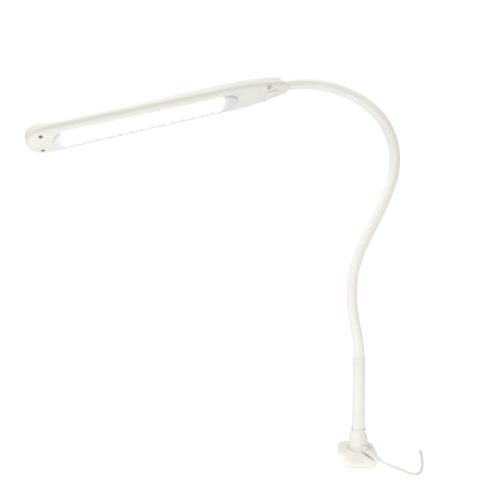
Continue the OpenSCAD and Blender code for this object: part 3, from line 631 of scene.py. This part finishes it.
# ---- Pole, its collar and ferrule ----
def make_collar():
    """A bell that flares to the dish, with a rolled ring on top and the strain relief's hole"""
    low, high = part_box("collar")
    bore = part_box("pole")[1].x + 0.0001
    foot_r, top_r, ring = (high.x - low.x) / 2, 0.0097, 0.002
    flare = [(foot_r - (foot_r - top_r) * eased(i / 12),
              low.z + 0.0165 + (high.z - ring - low.z - 0.0165) * i / 12) for i in range(13)]
    bead = arc((top_r - 0.0004, high.z - ring / 2), ring / 2, -60, 100, 8)
    foot = [(foot_r + 0.0009, low.z), (foot_r + 0.0009, low.z + 0.0003),
            (foot_r + 0.0004, low.z + 0.0008), (foot_r, low.z + 0.0016)]
    floor = low.z + 0.003
    inside = [(bore + 0.0003, high.z), (bore, high.z - 0.0003), (bore, floor), (0.0051, floor),
              (0.0051, low.z)]
    collar = turned("collar_bell", foot + flare + bead + inside, 96, closed=True)
    start, way = relief_axis()
    hole = turned("hole", [(0.00525, 0), (0.00525, 0.03)], 64)
    move(hole, Matrix.Translation(start) @ way.to_track_quat("Z", "Y").to_matrix().to_4x4())
    cut(collar, hole)
    smooth(collar, 32)
    finish(collar, white_plastic, "white_plastic", "stand", "collar")


def make_pole():
    low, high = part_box("pole")
    foot_r, top_r, wall, edge = high.x, 0.0081, 0.0015, 0.0003
    pole = turned("pole_tube", [
        (foot_r - edge, low.z), (foot_r, low.z + edge), (foot_r - 0.0002, low.z + 0.04),
        (top_r, high.z - edge),
        (top_r - edge, high.z), (top_r - wall, high.z), (foot_r - wall, low.z)], 96, closed=True)
    smooth(pole)
    finish(pole, pole_paint, "pole_paint", "stand", "pole")


def make_ferrule():
    """Two beads and a waist, over a spigot in the pole's top"""
    low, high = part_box("neck_ferrule")
    pole_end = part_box("pole")[1].z
    r, spigot, bore = high.x, 0.00635, 0.00464
    bead = 0.0007
    waist = r - 0.00035
    rings = [(bore, low.z), (spigot - 0.0004, low.z), (spigot, low.z + 0.0004),
             (spigot, pole_end + 0.00002)]
    rings += [(r - 0.0006, pole_end + 0.00002)] + arc((r - bead, pole_end + bead), bead, -70, 60)
    rings += [(waist, pole_end + 0.0018), (waist, high.z - 0.0018)]
    rings += arc((r - bead, high.z - bead), bead, -60, 90)
    rings += [(bore, high.z)]
    ferrule = turned("neck_ring", rings, 96, closed=True)
    smooth(ferrule, 40)
    finish(ferrule, pole_paint, "pole_paint", "stand", "neck_ferrule")


def make_relief():
    """The ribbed boot that the cord leaves the collar through"""
    start, way = relief_axis()
    root, head, end = 0.010, 0.007, 0.0405
    bore, tip = 0.00227, 0.0031
    rings = [(bore, root), (0.005, root)] + arc((0.0045, root + head - 0.0007), 0.0007, 0, 90, 4)
    ribs = 9
    pitch = (end - root - head - 0.004) / ribs
    for i in range(ribs):
        z = root + head + 0.0006 + pitch * i
        groove = 0.0036 - (0.0036 - 0.0027) * i / ribs
        crest = groove + 0.0007 - 0.0002 * i / ribs
        rings += [(groove, z), (crest - 0.0002, z + 0.0004), (crest, z + 0.0007),
                  (crest, z + pitch - 0.0007), (crest - 0.0002, z + pitch - 0.0004),
                  (groove, z + pitch - 0.0001)]
    rings += [(tip - 0.0002, end - 0.0028), (tip, end - 0.0022)]
    rings += arc((tip - 0.0005, end - 0.0005), 0.0005, 0, 90, 4)
    rings += [(bore, end)]
    boot = turned("cord_boot", rings, 48, closed=True)
    move(boot, Matrix.Translation(start) @ way.to_track_quat("Z", "Y").to_matrix().to_4x4())
    smooth(boot, 40)
    finish(boot, cord_jacket, "cord_jacket", "stand", "strain_relief")


# ---- Clamp ----
def make_strap():
    """Flat steel bent twice, its corners round and its edges broken"""
    low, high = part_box("clamp_strap")
    t = 0.003
    front_up, front_low = low.y, -0.014

    def bend(cy, cz, radius, start, end):
        return [(cy + radius * math.cos(math.radians(start + (end - start) * i / 8)),
                 cz + radius * math.sin(math.radians(start + (end - start) * i / 8))) for i in range(9)]

    outer, inner = 0.0042, 0.0012
    back = high.y
    ring = [(front_up, high.z)] + bend(back - outer, high.z - outer, outer, 90, 0)
    ring += bend(back - outer, low.z + outer, outer, 0, -90)
    ring += [(front_low, low.z), (front_low, low.z + t)]
    ring += bend(back - t - inner, low.z + t + inner, inner, -90, 0)
    ring += bend(back - t - inner, high.z - t - inner, inner, 0, 90) + [(front_up, high.z - t)]
    strap = outline("strap", ring, low.x, high.x)
    move(strap, Matrix(((0, 0, 1, 0), (1, 0, 0, 0), (0, 1, 0, 0), (0, 0, 0, 1))))
    take(strap)
    bpy.ops.object.mode_set(mode="EDIT")
    pick(strap, lambda a, b: abs(a.y - front_low) < 1e-5 and abs(b.y - front_low) < 1e-5
         and abs(a.x - b.x) < 1e-5 and a.z < -0.05, "edges")
    bpy.ops.mesh.bevel(offset=0.007, segments=8)
    bpy.ops.object.mode_set(mode="OBJECT")
    cut(strap, turned("hole", [(0.00705, low.z - 0.001), (0.00705, low.z + 0.004)], 48))
    soften(strap, 0.0004, 2, 40)
    finish(strap, strap_paint, "strap_steel", "stand", "clamp_strap")


def make_bush():
    low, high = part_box("clamp_bush")
    r, flange, bore = 0.007, high.x, 0.00408
    edge = 0.0004
    bush = turned("thread_bush", [
        (bore + edge, low.z), (r - edge, low.z), (r, low.z + edge), (r, low.z + 0.003),
        (flange - edge, low.z + 0.003),
        (flange, low.z + 0.003 + edge), (flange, low.z + 0.005 - edge), (flange - edge, low.z + 0.005),
        (r + edge, low.z + 0.005), (r, low.z + 0.0054), (r, high.z - edge), (r - edge, high.z),
        (bore + edge, high.z), (bore, high.z - edge), (bore, low.z + edge)], 64, closed=True)
    smooth(bush)
    finish(bush, plated_steel, "plated_steel", "stand", "clamp_bush")


def make_clamp_screw():
    """A real thread by the screw modifier, between plain ends"""
    low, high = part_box("clamp_screw")
    r, root, pitch = high.x, high.x - 0.0007, 0.00125
    groove_z, groove_r = high.z - 0.0061, 0.0025
    collar_z = high.z - 0.0085
    deselect()
    bpy.ops.mesh.primitive_plane_add(size=0.001)
    thread = bpy.context.object
    thread.name = thread.data.name = "screw_thread"
    bpy.ops.object.mode_set(mode="EDIT")
    bpy.ops.mesh.select_all(action="SELECT")
    bpy.ops.mesh.delete(type="ONLY_FACE")
    bpy.ops.object.mode_set(mode="OBJECT")
    corners = [(root, 0), (r - 0.00008, 0.42 * pitch), (r - 0.00008, 0.58 * pitch), (root, pitch)]
    order = chain_order(thread.data)
    for index, (x, z) in zip(order, corners):
        thread.data.vertices[index].co = (x, 0, low.z + 0.001 + z)
    turns = int((collar_z - low.z - 0.002) / pitch)
    modify(thread, "SCREW", angle=2 * math.pi, screw_offset=pitch, iterations=turns, steps=32,
           render_steps=32, axis="Z", use_merge_vertices=True, merge_threshold=1e-6)
    take(thread)
    bpy.ops.object.mode_set(mode="EDIT")
    bpy.ops.mesh.select_all(action="SELECT")
    bpy.ops.mesh.remove_doubles(threshold=1e-6)
    bpy.ops.mesh.normals_make_consistent(inside=False)
    bpy.ops.object.mode_set(mode="OBJECT")
    edge = 0.0005
    end = turned("end", [(root, collar_z - 0.0012), (r, collar_z - 0.0004), (r, groove_z - 0.0005),
                         (groove_r, groove_z - 0.0005),
                         (groove_r, groove_z + 0.0005), (r, groove_z + 0.0005), (r, high.z - edge),
                         (r - edge, high.z)], 48)
    tail = turned("tail", [(r - edge, low.z), (r, low.z + edge), (r, low.z + 0.0022)], 48)
    core = turned("core", [(root - 0.00002, low.z + 0.0005), (root - 0.00002, collar_z)], 48)
    screw = join("clamp_spindle", [thread, end, tail, core])
    smooth(screw, 40)
    finish(screw, plated_steel, "plated_steel", "screw", "clamp_screw")


def chain_order(mesh):
    """The four corners of a plane whose fourth edge is opened, in order along the chain"""
    neighbours = {v.index: set() for v in mesh.vertices}
    for edge in mesh.edges:
        a, b = edge.vertices
        neighbours[a].add(b)
        neighbours[b].add(a)
    order = [0]
    while len(order) < 4:
        order.append(min(n for n in neighbours[order[-1]] if n not in order))
    take_edge = {order[0], order[-1]}
    bpy.ops.object.mode_set(mode="EDIT")
    bpy.ops.mesh.select_mode(type="EDGE")
    bpy.ops.mesh.select_all(action="DESELECT")
    bpy.ops.object.mode_set(mode="OBJECT")
    for edge in mesh.edges:
        edge.select = set(edge.vertices) == take_edge
    bpy.ops.object.mode_set(mode="EDIT")
    bpy.ops.mesh.delete(type="EDGE")
    bpy.ops.object.mode_set(mode="OBJECT")
    return order


def make_knob():
    """Eight lobes, a rounded top and bottom, and a shallow dish in the face that the hand meets"""
    low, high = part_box("clamp_knob")
    r, scoop, reach, body_h = 0.015, 0.0036, 0.0168, 0.016
    ring = []
    for i in range(160):
        a = 2 * math.pi * i / 160
        off = (a + math.pi / 8) % (math.pi / 4) - math.pi / 8
        side = reach * math.sin(off)
        radius = r
        if abs(side) < scoop:
            radius = min(r, reach * math.cos(off) - math.sqrt(scoop ** 2 - side ** 2))
        ring.append((radius * math.cos(a), radius * math.sin(a)))
    knob = outline("knob_grip", ring, low.z, low.z + body_h)
    soften(knob, 0.0016, 5, 50)
    dish = turned("dish", [(0.0075, low.z - 0.001), (0.0075, low.z + 0.0002), (0.007, low.z + 0.0008),
                           (0.001, low.z + 0.0012)], 64)
    cut(knob, dish)
    hub = turned("hub", [(0.0101, low.z + body_h - 0.0008), (0.0099, low.z + body_h)] + [
        (0.0099 - 0.0038 * eased(i / 8), low.z + body_h + 0.0037 * i / 8) for i in range(1, 9)] + [
        (0.0057, high.z), (0.0042, high.z), (0.0042, low.z + body_h - 0.0008)], 64, closed=True)
    knob = join("knob_grip", [knob, hub])
    smooth(knob, 40)
    finish(knob, white_plastic, "white_plastic", "screw", "clamp_knob")


def make_foot():
    low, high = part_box("clamp_foot")
    disc_r, cup_r, bore, disc_t, edge = high.x, 0.006, 0.00405, 0.003, 0.0005
    foot = turned("pressure_foot", [
        (bore, low.z), (cup_r - edge, low.z), (cup_r, low.z + edge), (cup_r, high.z - disc_t - 0.001),
        (cup_r + 0.0004, high.z - disc_t - 0.0003), (cup_r + 0.001, high.z - disc_t),
        (disc_r - edge, high.z - disc_t),
        (disc_r, high.z - disc_t + edge), (disc_r, high.z - edge), (disc_r - edge, high.z),
        (0.0005, high.z), (0.0005, high.z - disc_t), (bore, high.z - disc_t)], 64, closed=True)
    smooth(foot)
    finish(foot, strap_paint, "strap_steel", "foot", "clamp_foot")
    low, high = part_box("foot_pad")
    rings = [(0.0005, low.z), (high.x - 0.0003, low.z), (high.x, low.z + 0.0003),
             (high.x, high.z - 0.0004), (high.x - 0.0004, high.z)]
    for i in range(5):
        groove = high.x - (1.8 + 2.2 * i) * MM
        rings += [(groove + 0.0005, high.z), (groove + 0.0003, high.z - 0.0005),
                  (groove - 0.0003, high.z - 0.0005), (groove - 0.0005, high.z)]
    rings += [(0.0005, high.z)]
    pad = turned("foot_rubber", rings, 64)
    smooth(pad)
    finish(pad, soft_rubber, "soft_rubber", "foot", "foot_pad")


for make in (make_puck, make_pad, make_collar, make_pole, make_ferrule, make_relief, make_strap,
             make_bush, make_clamp_screw, make_knob, make_foot):
    make()


# ---- Neck ----
LEAN_SIDE = [0, -12, -7, 4, 19, 26, 24, 18, -2, -24, -48, -66, -79, -94, -108]
LEAN_FORE = [0, 1, 2, 3, 4, 5, 6, 6, 7, 8, 9, 11, 14, 18, 23]
ARC = 0.0352
NECK_R = 0.0068
NECK_WALL = 0.00205
STEPS_AN_ARC = 18
HEAD_SET = 0.006


def neck_way(i):
    side, fore = math.radians(LEAN_SIDE[i]), math.radians(LEAN_FORE[i])
    return Vector((math.sin(side) * math.cos(fore), -math.sin(fore), math.cos(side) * math.cos(fore)))


def along_arc(start, i, share):
    """Where the centreline is, and its direction, after a share of arc i that begins at start"""
    a, b = neck_way(i), neck_way(i + 1)
    turn = a.angle(b)
    aside = (b - a * a.dot(b)).normalized()
    bend = turn * share
    point = start + (a * math.sin(bend) + aside * (1 - math.cos(bend))) * (ARC / turn)
    return point, (a * math.cos(bend) + aside * math.sin(bend)).normalized()


def neck_nodes():
    points = [Vector((0, 0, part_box("neck_sleeve_1")[0].z))]
    for i in range(len(LEAN_SIDE) - 1):
        points.append(along_arc(points[-1], i, 1)[0])
    return points


NODES = neck_nodes()


def make_skin(name, first, last, run_on=0.0, foot=0.0):
    """The neck's smooth skin from one arc end to another, with its bore. Each end is cut square."""
    tiny = 0.00008
    path = []
    for i in range(first, last):
        for step in range(STEPS_AN_ARC):
            path.append((i + step / STEPS_AN_ARC, *along_arc(NODES[i], i, step / STEPS_AN_ARC)))
    path.append((last, NODES[last], neck_way(last)))
    ends = [(path[0][0], path[0][1] + path[0][2] * tiny, path[0][2])]
    tail = [(path[-1][0], path[-1][1] - path[-1][2] * tiny, path[-1][2])]
    if foot:
        path.insert(0, (0, path[0][1] - path[0][2] * foot, path[0][2]))
        ends = []
    if run_on:
        tail = []
        end = path[-1]
        for step in range(1, 5):
            path.append((last, end[1] + end[2] * run_on * step / 4, end[2]))
    path = path[:1] + ends + path[1:-1] + tail + path[-1:]
    data = bpy.data.curves.new(name, "CURVE")
    data.dimensions = "3D"
    data.twist_mode = "MINIMUM"
    data.bevel_depth = NECK_R
    data.bevel_resolution = 10
    spline = data.splines.new("POLY")
    spline.points.add(len(path) - 1)
    for point, (place, where, _) in zip(spline.points, path):
        point.co = (*where, 1)
        point.radius = 1 + 0.0007 / NECK_R * (1 - eased(place / 2))
    skin = bpy.data.objects.new(name, data)
    bpy.context.scene.collection.objects.link(skin)
    take(skin)
    bpy.ops.object.convert(target="MESH")
    skin = bpy.context.object
    skin.name = skin.data.name = name
    outward(skin)
    modify(skin, "SOLIDIFY", thickness=NECK_WALL, offset=-1)
    return smooth(skin, 40)


def make_neck():
    """The skin crosses each joint in one piece, where the CAD's lengths meet; the pieces over the joints
    ride no body
    """
    root = make_skin("neck_skin_foot", 0, 1, foot=0.0002)
    finish(root, neck_skin, "neck_skin", "stand", "neck_sleeve_1")
    for joint in range(1, 7):
        skin = make_skin(f"neck_skin_{joint}", 2 * joint - 1, 2 * joint + 1)
        finish(skin, neck_skin, "neck_skin", None)
        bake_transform(skin)
        if joint > 1:
            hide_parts(f"neck_sleeve_{joint}")
    tip = make_skin("neck_skin_tip", 13, 14, run_on=0.0098 - HEAD_SET)
    finish(tip, neck_skin, "neck_skin", "head", "neck_sleeve_7")


make_neck()


# ---- Head: X from the neck to the tip, Y to the reader's side, Z away from the light ----
HEAD_LEN, TAPER, TIP = 0.317, 0.076, 0.026
HALF_NECK, HALF_HEAD = 0.0093, 0.021
DEEP = 0.0085
SPLIT = 0.0025
WALL = 0.002
WINDOW = (0.0725, 0.2915)
LENS_W = 0.0245
FLOOR = -DEEP + WALL
SCREW_X, SCREW_Y = (0.030, 0.303), 0.0115
BULKHEAD = (0.012, 0.0138)
BUTTON_X = 0.0255


def head_frame():
    u = neck_way(14)
    up = (Vector((0, 0, 1)) - u * u.z).normalized()
    aside = up.cross(u)
    roll = math.radians(30)
    y = aside * math.cos(roll) + up * math.sin(roll)
    z = up * math.cos(roll) - aside * math.sin(roll)
    return Matrix.Translation(NODES[14] - u * HEAD_SET) @ Matrix((u, y, z)).transposed().to_4x4()


TO_HEAD = head_frame()


def tip_fall(x):
    part = max(0, (x - HEAD_LEN + TIP) / TIP)
    return max(0, 1 - part ** 2.5) ** 0.4


def half_width(x):
    flare = math.sin(math.pi / 2 * min(1, x / TAPER))
    return (HALF_NECK + (HALF_HEAD - HALF_NECK) * flare) * tip_fall(x)


def half_depth(x):
    return (0.008 + (DEEP - 0.008) * eased(x / 0.03)) * tip_fall(x) ** 0.6


def head_loft(name, stations, inset=0.0, sides=112):
    """Superellipse rings, extruded one from another along the head and resized"""
    deselect()
    bpy.ops.mesh.primitive_circle_add(vertices=sides, radius=1, fill_type="NGON")
    obj = bpy.context.object
    obj.name = obj.data.name = name
    x = stations[0]
    wide, deep = half_width(x) - inset, half_depth(x) - inset
    for i, vertex in enumerate(obj.data.vertices):
        a = 2 * math.pi * i / sides
        c, s = math.cos(a), math.sin(a)
        vertex.co = (wide * math.copysign(abs(c) ** (2 / 3.4), c),
                     deep * math.copysign(abs(s) ** (2 / 3.4), s), x)
    bpy.ops.object.mode_set(mode="EDIT")
    bpy.ops.mesh.select_all(action="SELECT")
    for after in stations[1:]:
        bpy.ops.mesh.extrude_region_move(TRANSFORM_OT_translate={"value": (0, 0, after - x)})
        new_wide, new_deep = half_width(after) - inset, half_depth(after) - inset
        bpy.ops.transform.resize(value=(new_wide / wide, new_deep / deep, 1),
                                 center_override=(0, 0, after))
        x, wide, deep = after, new_wide, new_deep
    bpy.ops.object.mode_set(mode="OBJECT")
    move(obj, Matrix(((0, 0, 1, 0), (1, 0, 0, 0), (0, 1, 0, 0), (0, 0, 0, 1))))
    return outward(obj)


def slice_off(obj, point, normal, fill=False):
    """Takes away what lies on the normal's side of a plane"""
    take(obj)
    bpy.ops.object.mode_set(mode="EDIT")
    bpy.ops.mesh.select_all(action="SELECT")
    bpy.ops.mesh.bisect(plane_co=point, plane_no=normal, use_fill=fill, clear_outer=True)
    bpy.ops.object.mode_set(mode="OBJECT")
    return obj


def head_stations():
    taper = [TAPER * i / 16 for i in range(17)]
    body = [TAPER + (HEAD_LEN - TIP - TAPER) * i / 12 for i in range(1, 12)]
    tip = [HEAD_LEN - TIP + TIP * t for t in (
        0, 0.12, 0.24, 0.34, 0.43, 0.51, 0.58, 0.64, 0.7, 0.755, 0.805, 0.85, 0.89, 0.925, 0.95, 0.97,
        0.984, 0.993, 0.998, 0.9997)]
    return taper + body + tip


def shell_half(name, keep_low):
    """Half of the head's form, slanting at the neck, given its wall and an eased parting edge"""
    shell = head_loft(name, head_stations())
    gap = 0.00003
    level = SPLIT if keep_low else SPLIT + gap
    slice_off(shell, (0, 0, level), (0, 0, 1 if keep_low else -1))
    hood_edge, slant = Vector((0, 0, -DEEP)), Vector((-15, 0, 13)).normalized()
    slice_off(shell, hood_edge, slant)
    modify(shell, "SOLIDIFY", thickness=WALL, offset=-1)
    take(shell)
    bpy.ops.object.mode_set(mode="EDIT")

    def on_edge(a, b):
        parting = abs(a.z - level) < 2e-6 and abs(b.z - level) < 2e-6
        hood = all(abs((end - hood_edge).dot(slant)) < 2e-6 for end in (a, b))
        return parting or hood

    pick(shell, on_edge, "edges")
    bpy.ops.mesh.bevel(offset=0.00028, segments=3, clamp_overlap=False)
    bpy.ops.object.mode_set(mode="OBJECT")
    return shell


def neck_hole(r, x0, x1):
    """A round cutter along the neck's way into the head"""
    cutter = turned("neck_hole", [(r, x0), (r, x1)], 64)
    return move(cutter, Matrix(((0, 0, 1, 0), (1, 0, 0, 0), (0, 1, 0, 0), (0, 0, 0, 1))))


def screw_places():
    return [(x, side * SCREW_Y) for x in SCREW_X for side in (-1, 1)]


def keep_inside(obj):
    """Trims what would reach through the shell"""
    form = head_loft("form", head_stations(), 0.0009)
    modify(obj, "BOOLEAN", operation="INTERSECT", object=form, solver="EXACT")
    bpy.data.objects.remove(form)
    return obj


def make_housing():
    """The lower shell: window, switch opening, screw wells and the wall that holds the neck"""
    clear = 0.0001
    shell = shell_half("head_shell", True)
    window = outline("window", bar_points(WINDOW[0] - clear, WINDOW[1] + clear, LENS_W + 2 * clear, 24),
                     -DEEP - 0.001, FLOOR + 0.001)
    rebate = outline("rebate", bar_points(WINDOW[0] - 0.0005, WINDOW[1] + 0.0005, LENS_W + 0.001, 24),
                     -DEEP - 0.001, -DEEP + 0.00025)
    opening = outline("opening", rounded_points(BUTTON_X - 0.0086, BUTTON_X + 0.0086, -0.0056, 0.0056,
                                                0.0025, 8),
                      -DEEP - 0.001, FLOOR + 0.001)
    edge = outline("edge", rounded_points(BUTTON_X - 0.0087, BUTTON_X + 0.0087, -0.0057, 0.0057, 0.0026,
                                          8),
                   -DEEP - 0.001, -DEEP + 0.0002)
    cut(shell, window, rebate, opening, edge, neck_hole(0.00725, -0.001, BULKHEAD[0]))
    for x, y in screw_places():
        well = turned("well", [(0.0026, -DEEP - 0.001), (0.0026, -DEEP + 0.0001),
                               (0.0023, -DEEP + 0.0005), (0.0023, FLOOR + 0.001)], 48)
        cut(shell, move(well, Matrix.Translation((x, y, 0))))
    low_bulkhead = head_loft("bulkhead", [BULKHEAD[0], BULKHEAD[1]], 0.0006)
    slice_off(low_bulkhead, (0, 0, SPLIT), (0, 0, 1), True)
    high_bulkhead = head_loft("bulkhead_top", [BULKHEAD[0], BULKHEAD[1]], WALL + 0.0001)
    slice_off(high_bulkhead, (0, 0, SPLIT), (0, 0, -1), True)
    for wall in (low_bulkhead, high_bulkhead):
        cut(wall, neck_hole(0.00405, BULKHEAD[0] - 0.001, BULKHEAD[1] + 0.001))
    posts = []
    for x, y in screw_places():
        post = turned("post", [(0.0023, FLOOR - 0.0005), (0.0023, -0.0034), (0.00135, -0.0034),
                               (0.00135, -0.001),
                               (0.0034, -0.001), (0.0034, FLOOR - 0.0005)], 48, closed=True)
        posts.append(keep_inside(move(post, Matrix.Translation((x, y, 0)))))
    shell = join("head_shell", [shell, low_bulkhead, high_bulkhead] + posts)
    move(shell, TO_HEAD)
    smooth(shell, 32)
    finish(shell, white_plastic, "white_plastic", "head", "head_housing")


def make_lid():
    lid = shell_half("head_cover", False)
    cut(lid, neck_hole(0.00725, -0.001, BULKHEAD[0]))
    extras = []
    for x, y in screw_places():
        post = turned("post", [(0.00122, -0.0009), (0.003, -0.0009), (0.003, DEEP - 0.0015),
                               (0.00122, DEEP - 0.0015)],
                      48, closed=True)
        extras.append(keep_inside(move(post, Matrix.Translation((x, y, 0)))))
    for x in (0.104, 0.182, 0.260):
        extras.append(block("rib", (x, -0.009, 0.0006), (x + 0.0016, 0.009, DEEP - 0.0015)))
    lid = join("head_cover", [lid] + extras)
    move(lid, TO_HEAD)
    smooth(lid, 32)
    finish(lid, white_plastic, "white_plastic", "head", "head_lid")


def remember_place(obj):
    """Keeps each point's place in the head's own frame, for the light's pattern"""
    place = obj.data.attributes.new("head_place", "FLOAT_VECTOR", "POINT")
    for item, vertex in zip(place.data, obj.data.vertices):
        item.vector = vertex.co / MM


def maths(tree, operation, a, b=None, c=None, clamp=False):
    node = add(tree, "ShaderNodeMath")
    node.operation = operation
    node.use_clamp = clamp
    for socket, value in zip(node.inputs, (a, b, c)):
        if value is None:
            continue
        if isinstance(value, (int, float)):
            socket.default_value = value
        else:
            tree.links.new(value, socket)
    return node.outputs["Value"]


def make_lens_material():
    """A milky diffuser, lit behind by a row of fifteen: each shows as a soft upright patch"""
    material, tree, shader = new_material("lens_diffuser", (0.85, 0.855, 0.85), 0.3,
                                          Subsurface_Weight=0.2, Coat_Weight=0.2, Coat_Roughness=0.15)
    place = add(tree, "ShaderNodeAttribute")
    place.attribute_name = "head_place"
    split = add(tree, "ShaderNodeSeparateXYZ")
    tree.links.new(place.outputs["Vector"], split.inputs["Vector"])
    x, y = split.outputs["X"], split.outputs["Y"]
    pitch, first, count = 12.7, 99.0, 15
    row = maths(tree, "DIVIDE", maths(tree, "SUBTRACT", x, first - pitch / 2), pitch)
    nearest = maths(tree, "ROUND", maths(tree, "SUBTRACT", row, 0.5))
    nearest = maths(tree, "MINIMUM", maths(tree, "MAXIMUM", nearest, 0.0), float(count - 1))
    beside = maths(tree, "SUBTRACT", maths(tree, "SUBTRACT", row, 0.5), nearest)
    across = maths(tree, "ABSOLUTE", maths(tree, "MULTIPLY", beside, 2.05))
    up = maths(tree, "ABSOLUTE", maths(tree, "DIVIDE", maths(tree, "SUBTRACT", y, 5.4), 12.6))
    patch = maths(tree, "ADD", maths(tree, "POWER", across, 3.0), maths(tree, "POWER", up, 3.6))
    end = add(tree, "ShaderNodeMapRange", interpolation_type="SMOOTHSTEP")
    end.inputs["From Min"].default_value = 2.3
    end.inputs["From Max"].default_value = 1.1
    tree.links.new(across, end.inputs["Value"])
    in_row = end.outputs["Result"]
    lit = add(tree, "ShaderNodeMapRange", interpolation_type="SMOOTHSTEP")
    lit.inputs["From Min"].default_value = 1.75
    lit.inputs["From Max"].default_value = 0.55
    lit.inputs["To Min"].default_value = 0.0
    lit.inputs["To Max"].default_value = 1.0
    tree.links.new(patch, lit.inputs["Value"])
    spill = add(tree, "ShaderNodeMapRange", interpolation_type="SMOOTHSTEP")
    spill.inputs["From Min"].default_value = 1.25
    spill.inputs["From Max"].default_value = 0.35
    tree.links.new(maths(tree, "POWER", up, 2.0), spill.inputs["Value"])
    near = maths(tree, "MULTIPLY", spill.outputs["Result"], 0.15)
    glow = maths(tree, "MULTIPLY", maths(tree, "MAXIMUM", lit.outputs["Result"], near), in_row)
    tree.links.new(maths(tree, "MULTIPLY", glow, 0.55), shader.inputs["Emission Strength"])
    shader.inputs["Emission Color"].default_value = (1, 0.995, 0.98, 1)
    vary(tree, noise(tree, 60, 3), 0.26, 0.34, shader.inputs["Roughness"])
    return material


def make_lens():
    """A long domed diffuser with round ends, hollow over the lights, its flange inside"""
    bottom = -DEEP - 0.003
    lens = outline("lens_bar", bar_points(*WINDOW, LENS_W, 24), bottom, FLOOR + 0.0014)
    take(lens)
    bpy.ops.object.mode_set(mode="EDIT")
    pick(lens, lambda a, b: abs(a.z - bottom) < 1e-6 and abs(b.z - bottom) < 1e-6, "edges")
    bpy.ops.mesh.bevel(offset=0.0028, segments=10, profile=0.5, clamp_overlap=False)
    bpy.ops.object.mode_set(mode="OBJECT")
    t = 0.0016
    hollow = outline("hollow", bar_points(WINDOW[0] + t, WINDOW[1] - t, LENS_W - 2 * t, 24),
                     bottom + t, FLOOR + 0.003)
    cut(lens, hollow)
    flange = outline("flange", bar_points(WINDOW[0] - 0.002, WINDOW[1] + 0.002, LENS_W + 0.004, 24),
                     FLOOR + 0.00003, FLOOR + 0.0014)
    cut(flange, outline("hole", bar_points(WINDOW[0] + 0.0001, WINDOW[1] - 0.0001, LENS_W - 0.0002, 24),
                        FLOOR - 0.001, FLOOR + 0.003))
    lens = join("lens_bar", [lens, flange])
    remember_place(lens)
    move(lens, TO_HEAD)
    smooth(lens, 32)
    finish(lens, make_lens_material(), "lens_diffuser", "head", "lens")


def make_button():
    """A pillow-shaped key with a lip inside"""
    half_x, half_y, bottom = 0.0085, 0.0055, -DEEP - 0.0018
    key = outline("power_key", rounded_points(BUTTON_X - half_x, BUTTON_X + half_x, -half_y, half_y,
                                              0.0024, 8),
                  bottom, FLOOR + 0.0002)
    take(key)
    bpy.ops.object.mode_set(mode="EDIT")
    pick(key, lambda a, b: abs(a.z - bottom) < 1e-6 and abs(b.z - bottom) < 1e-6, "edges")
    bpy.ops.mesh.bevel(offset=0.0012, segments=6, profile=0.5, clamp_overlap=False)
    bpy.ops.object.mode_set(mode="OBJECT")
    lip = outline("lip", rounded_points(BUTTON_X - half_x - 0.001, BUTTON_X + half_x + 0.001,
                                        -half_y - 0.001,
                                        half_y + 0.001, 0.003, 8), FLOOR + 0.0002, FLOOR + 0.001)
    key = join("power_key", [key, lip])
    move(key, TO_HEAD)
    smooth(key, 32)
    finish(key, white_plastic, "white_plastic", "button", "switch_button")


def make_head_screws():
    """Four small screws with cross recesses, deep in their wells"""
    screws = []
    for x, y in screw_places():
        top = -0.0049
        screw = turned("screw", [(0.0015, top), (0.0019, top + 0.0003), (0.002, top + 0.0006),
                                 (0.002, -0.0034),
                                 (0.0012, -0.0034), (0.0012, 0.0040), (0.0009, 0.0044)], 32)
        slots = [block("slot", (-0.0011, -0.0002, top - 0.001), (0.0011, 0.0002, top + 0.0009)),
                 block("slot", (-0.0002, -0.0011, top - 0.001), (0.0002, 0.0011, top + 0.0009))]
        cut(screw, *slots)
        turn = Matrix.Rotation(x * 60 + y * 90, 4, "Z")
        screws.append(move(screw, Matrix.Translation((x, y, 0)) @ turn))
    screws = join("shell_screws", screws)
    move(screws, TO_HEAD)
    smooth(screws, 32)
    finish(screws, plated_steel, "plated_steel", "head", "head_screws")


for make in (make_housing, make_lid, make_lens, make_button, make_head_screws):
    make()


def make_led_material():
    material, tree, shader = new_material("led_glow", (0.95, 0.85, 0.5), 0.4)
    shader.inputs["Emission Color"].default_value = (1, 0.97, 0.9, 1)
    shader.inputs["Emission Strength"].default_value = 2.0
    vary(tree, noise(tree, 400, 2), 0.35, 0.45, shader.inputs["Roughness"])
    leds = frame["nodes"]["leds"].data
    leds.materials.clear()
    leds.materials.append(material)


make_led_material()
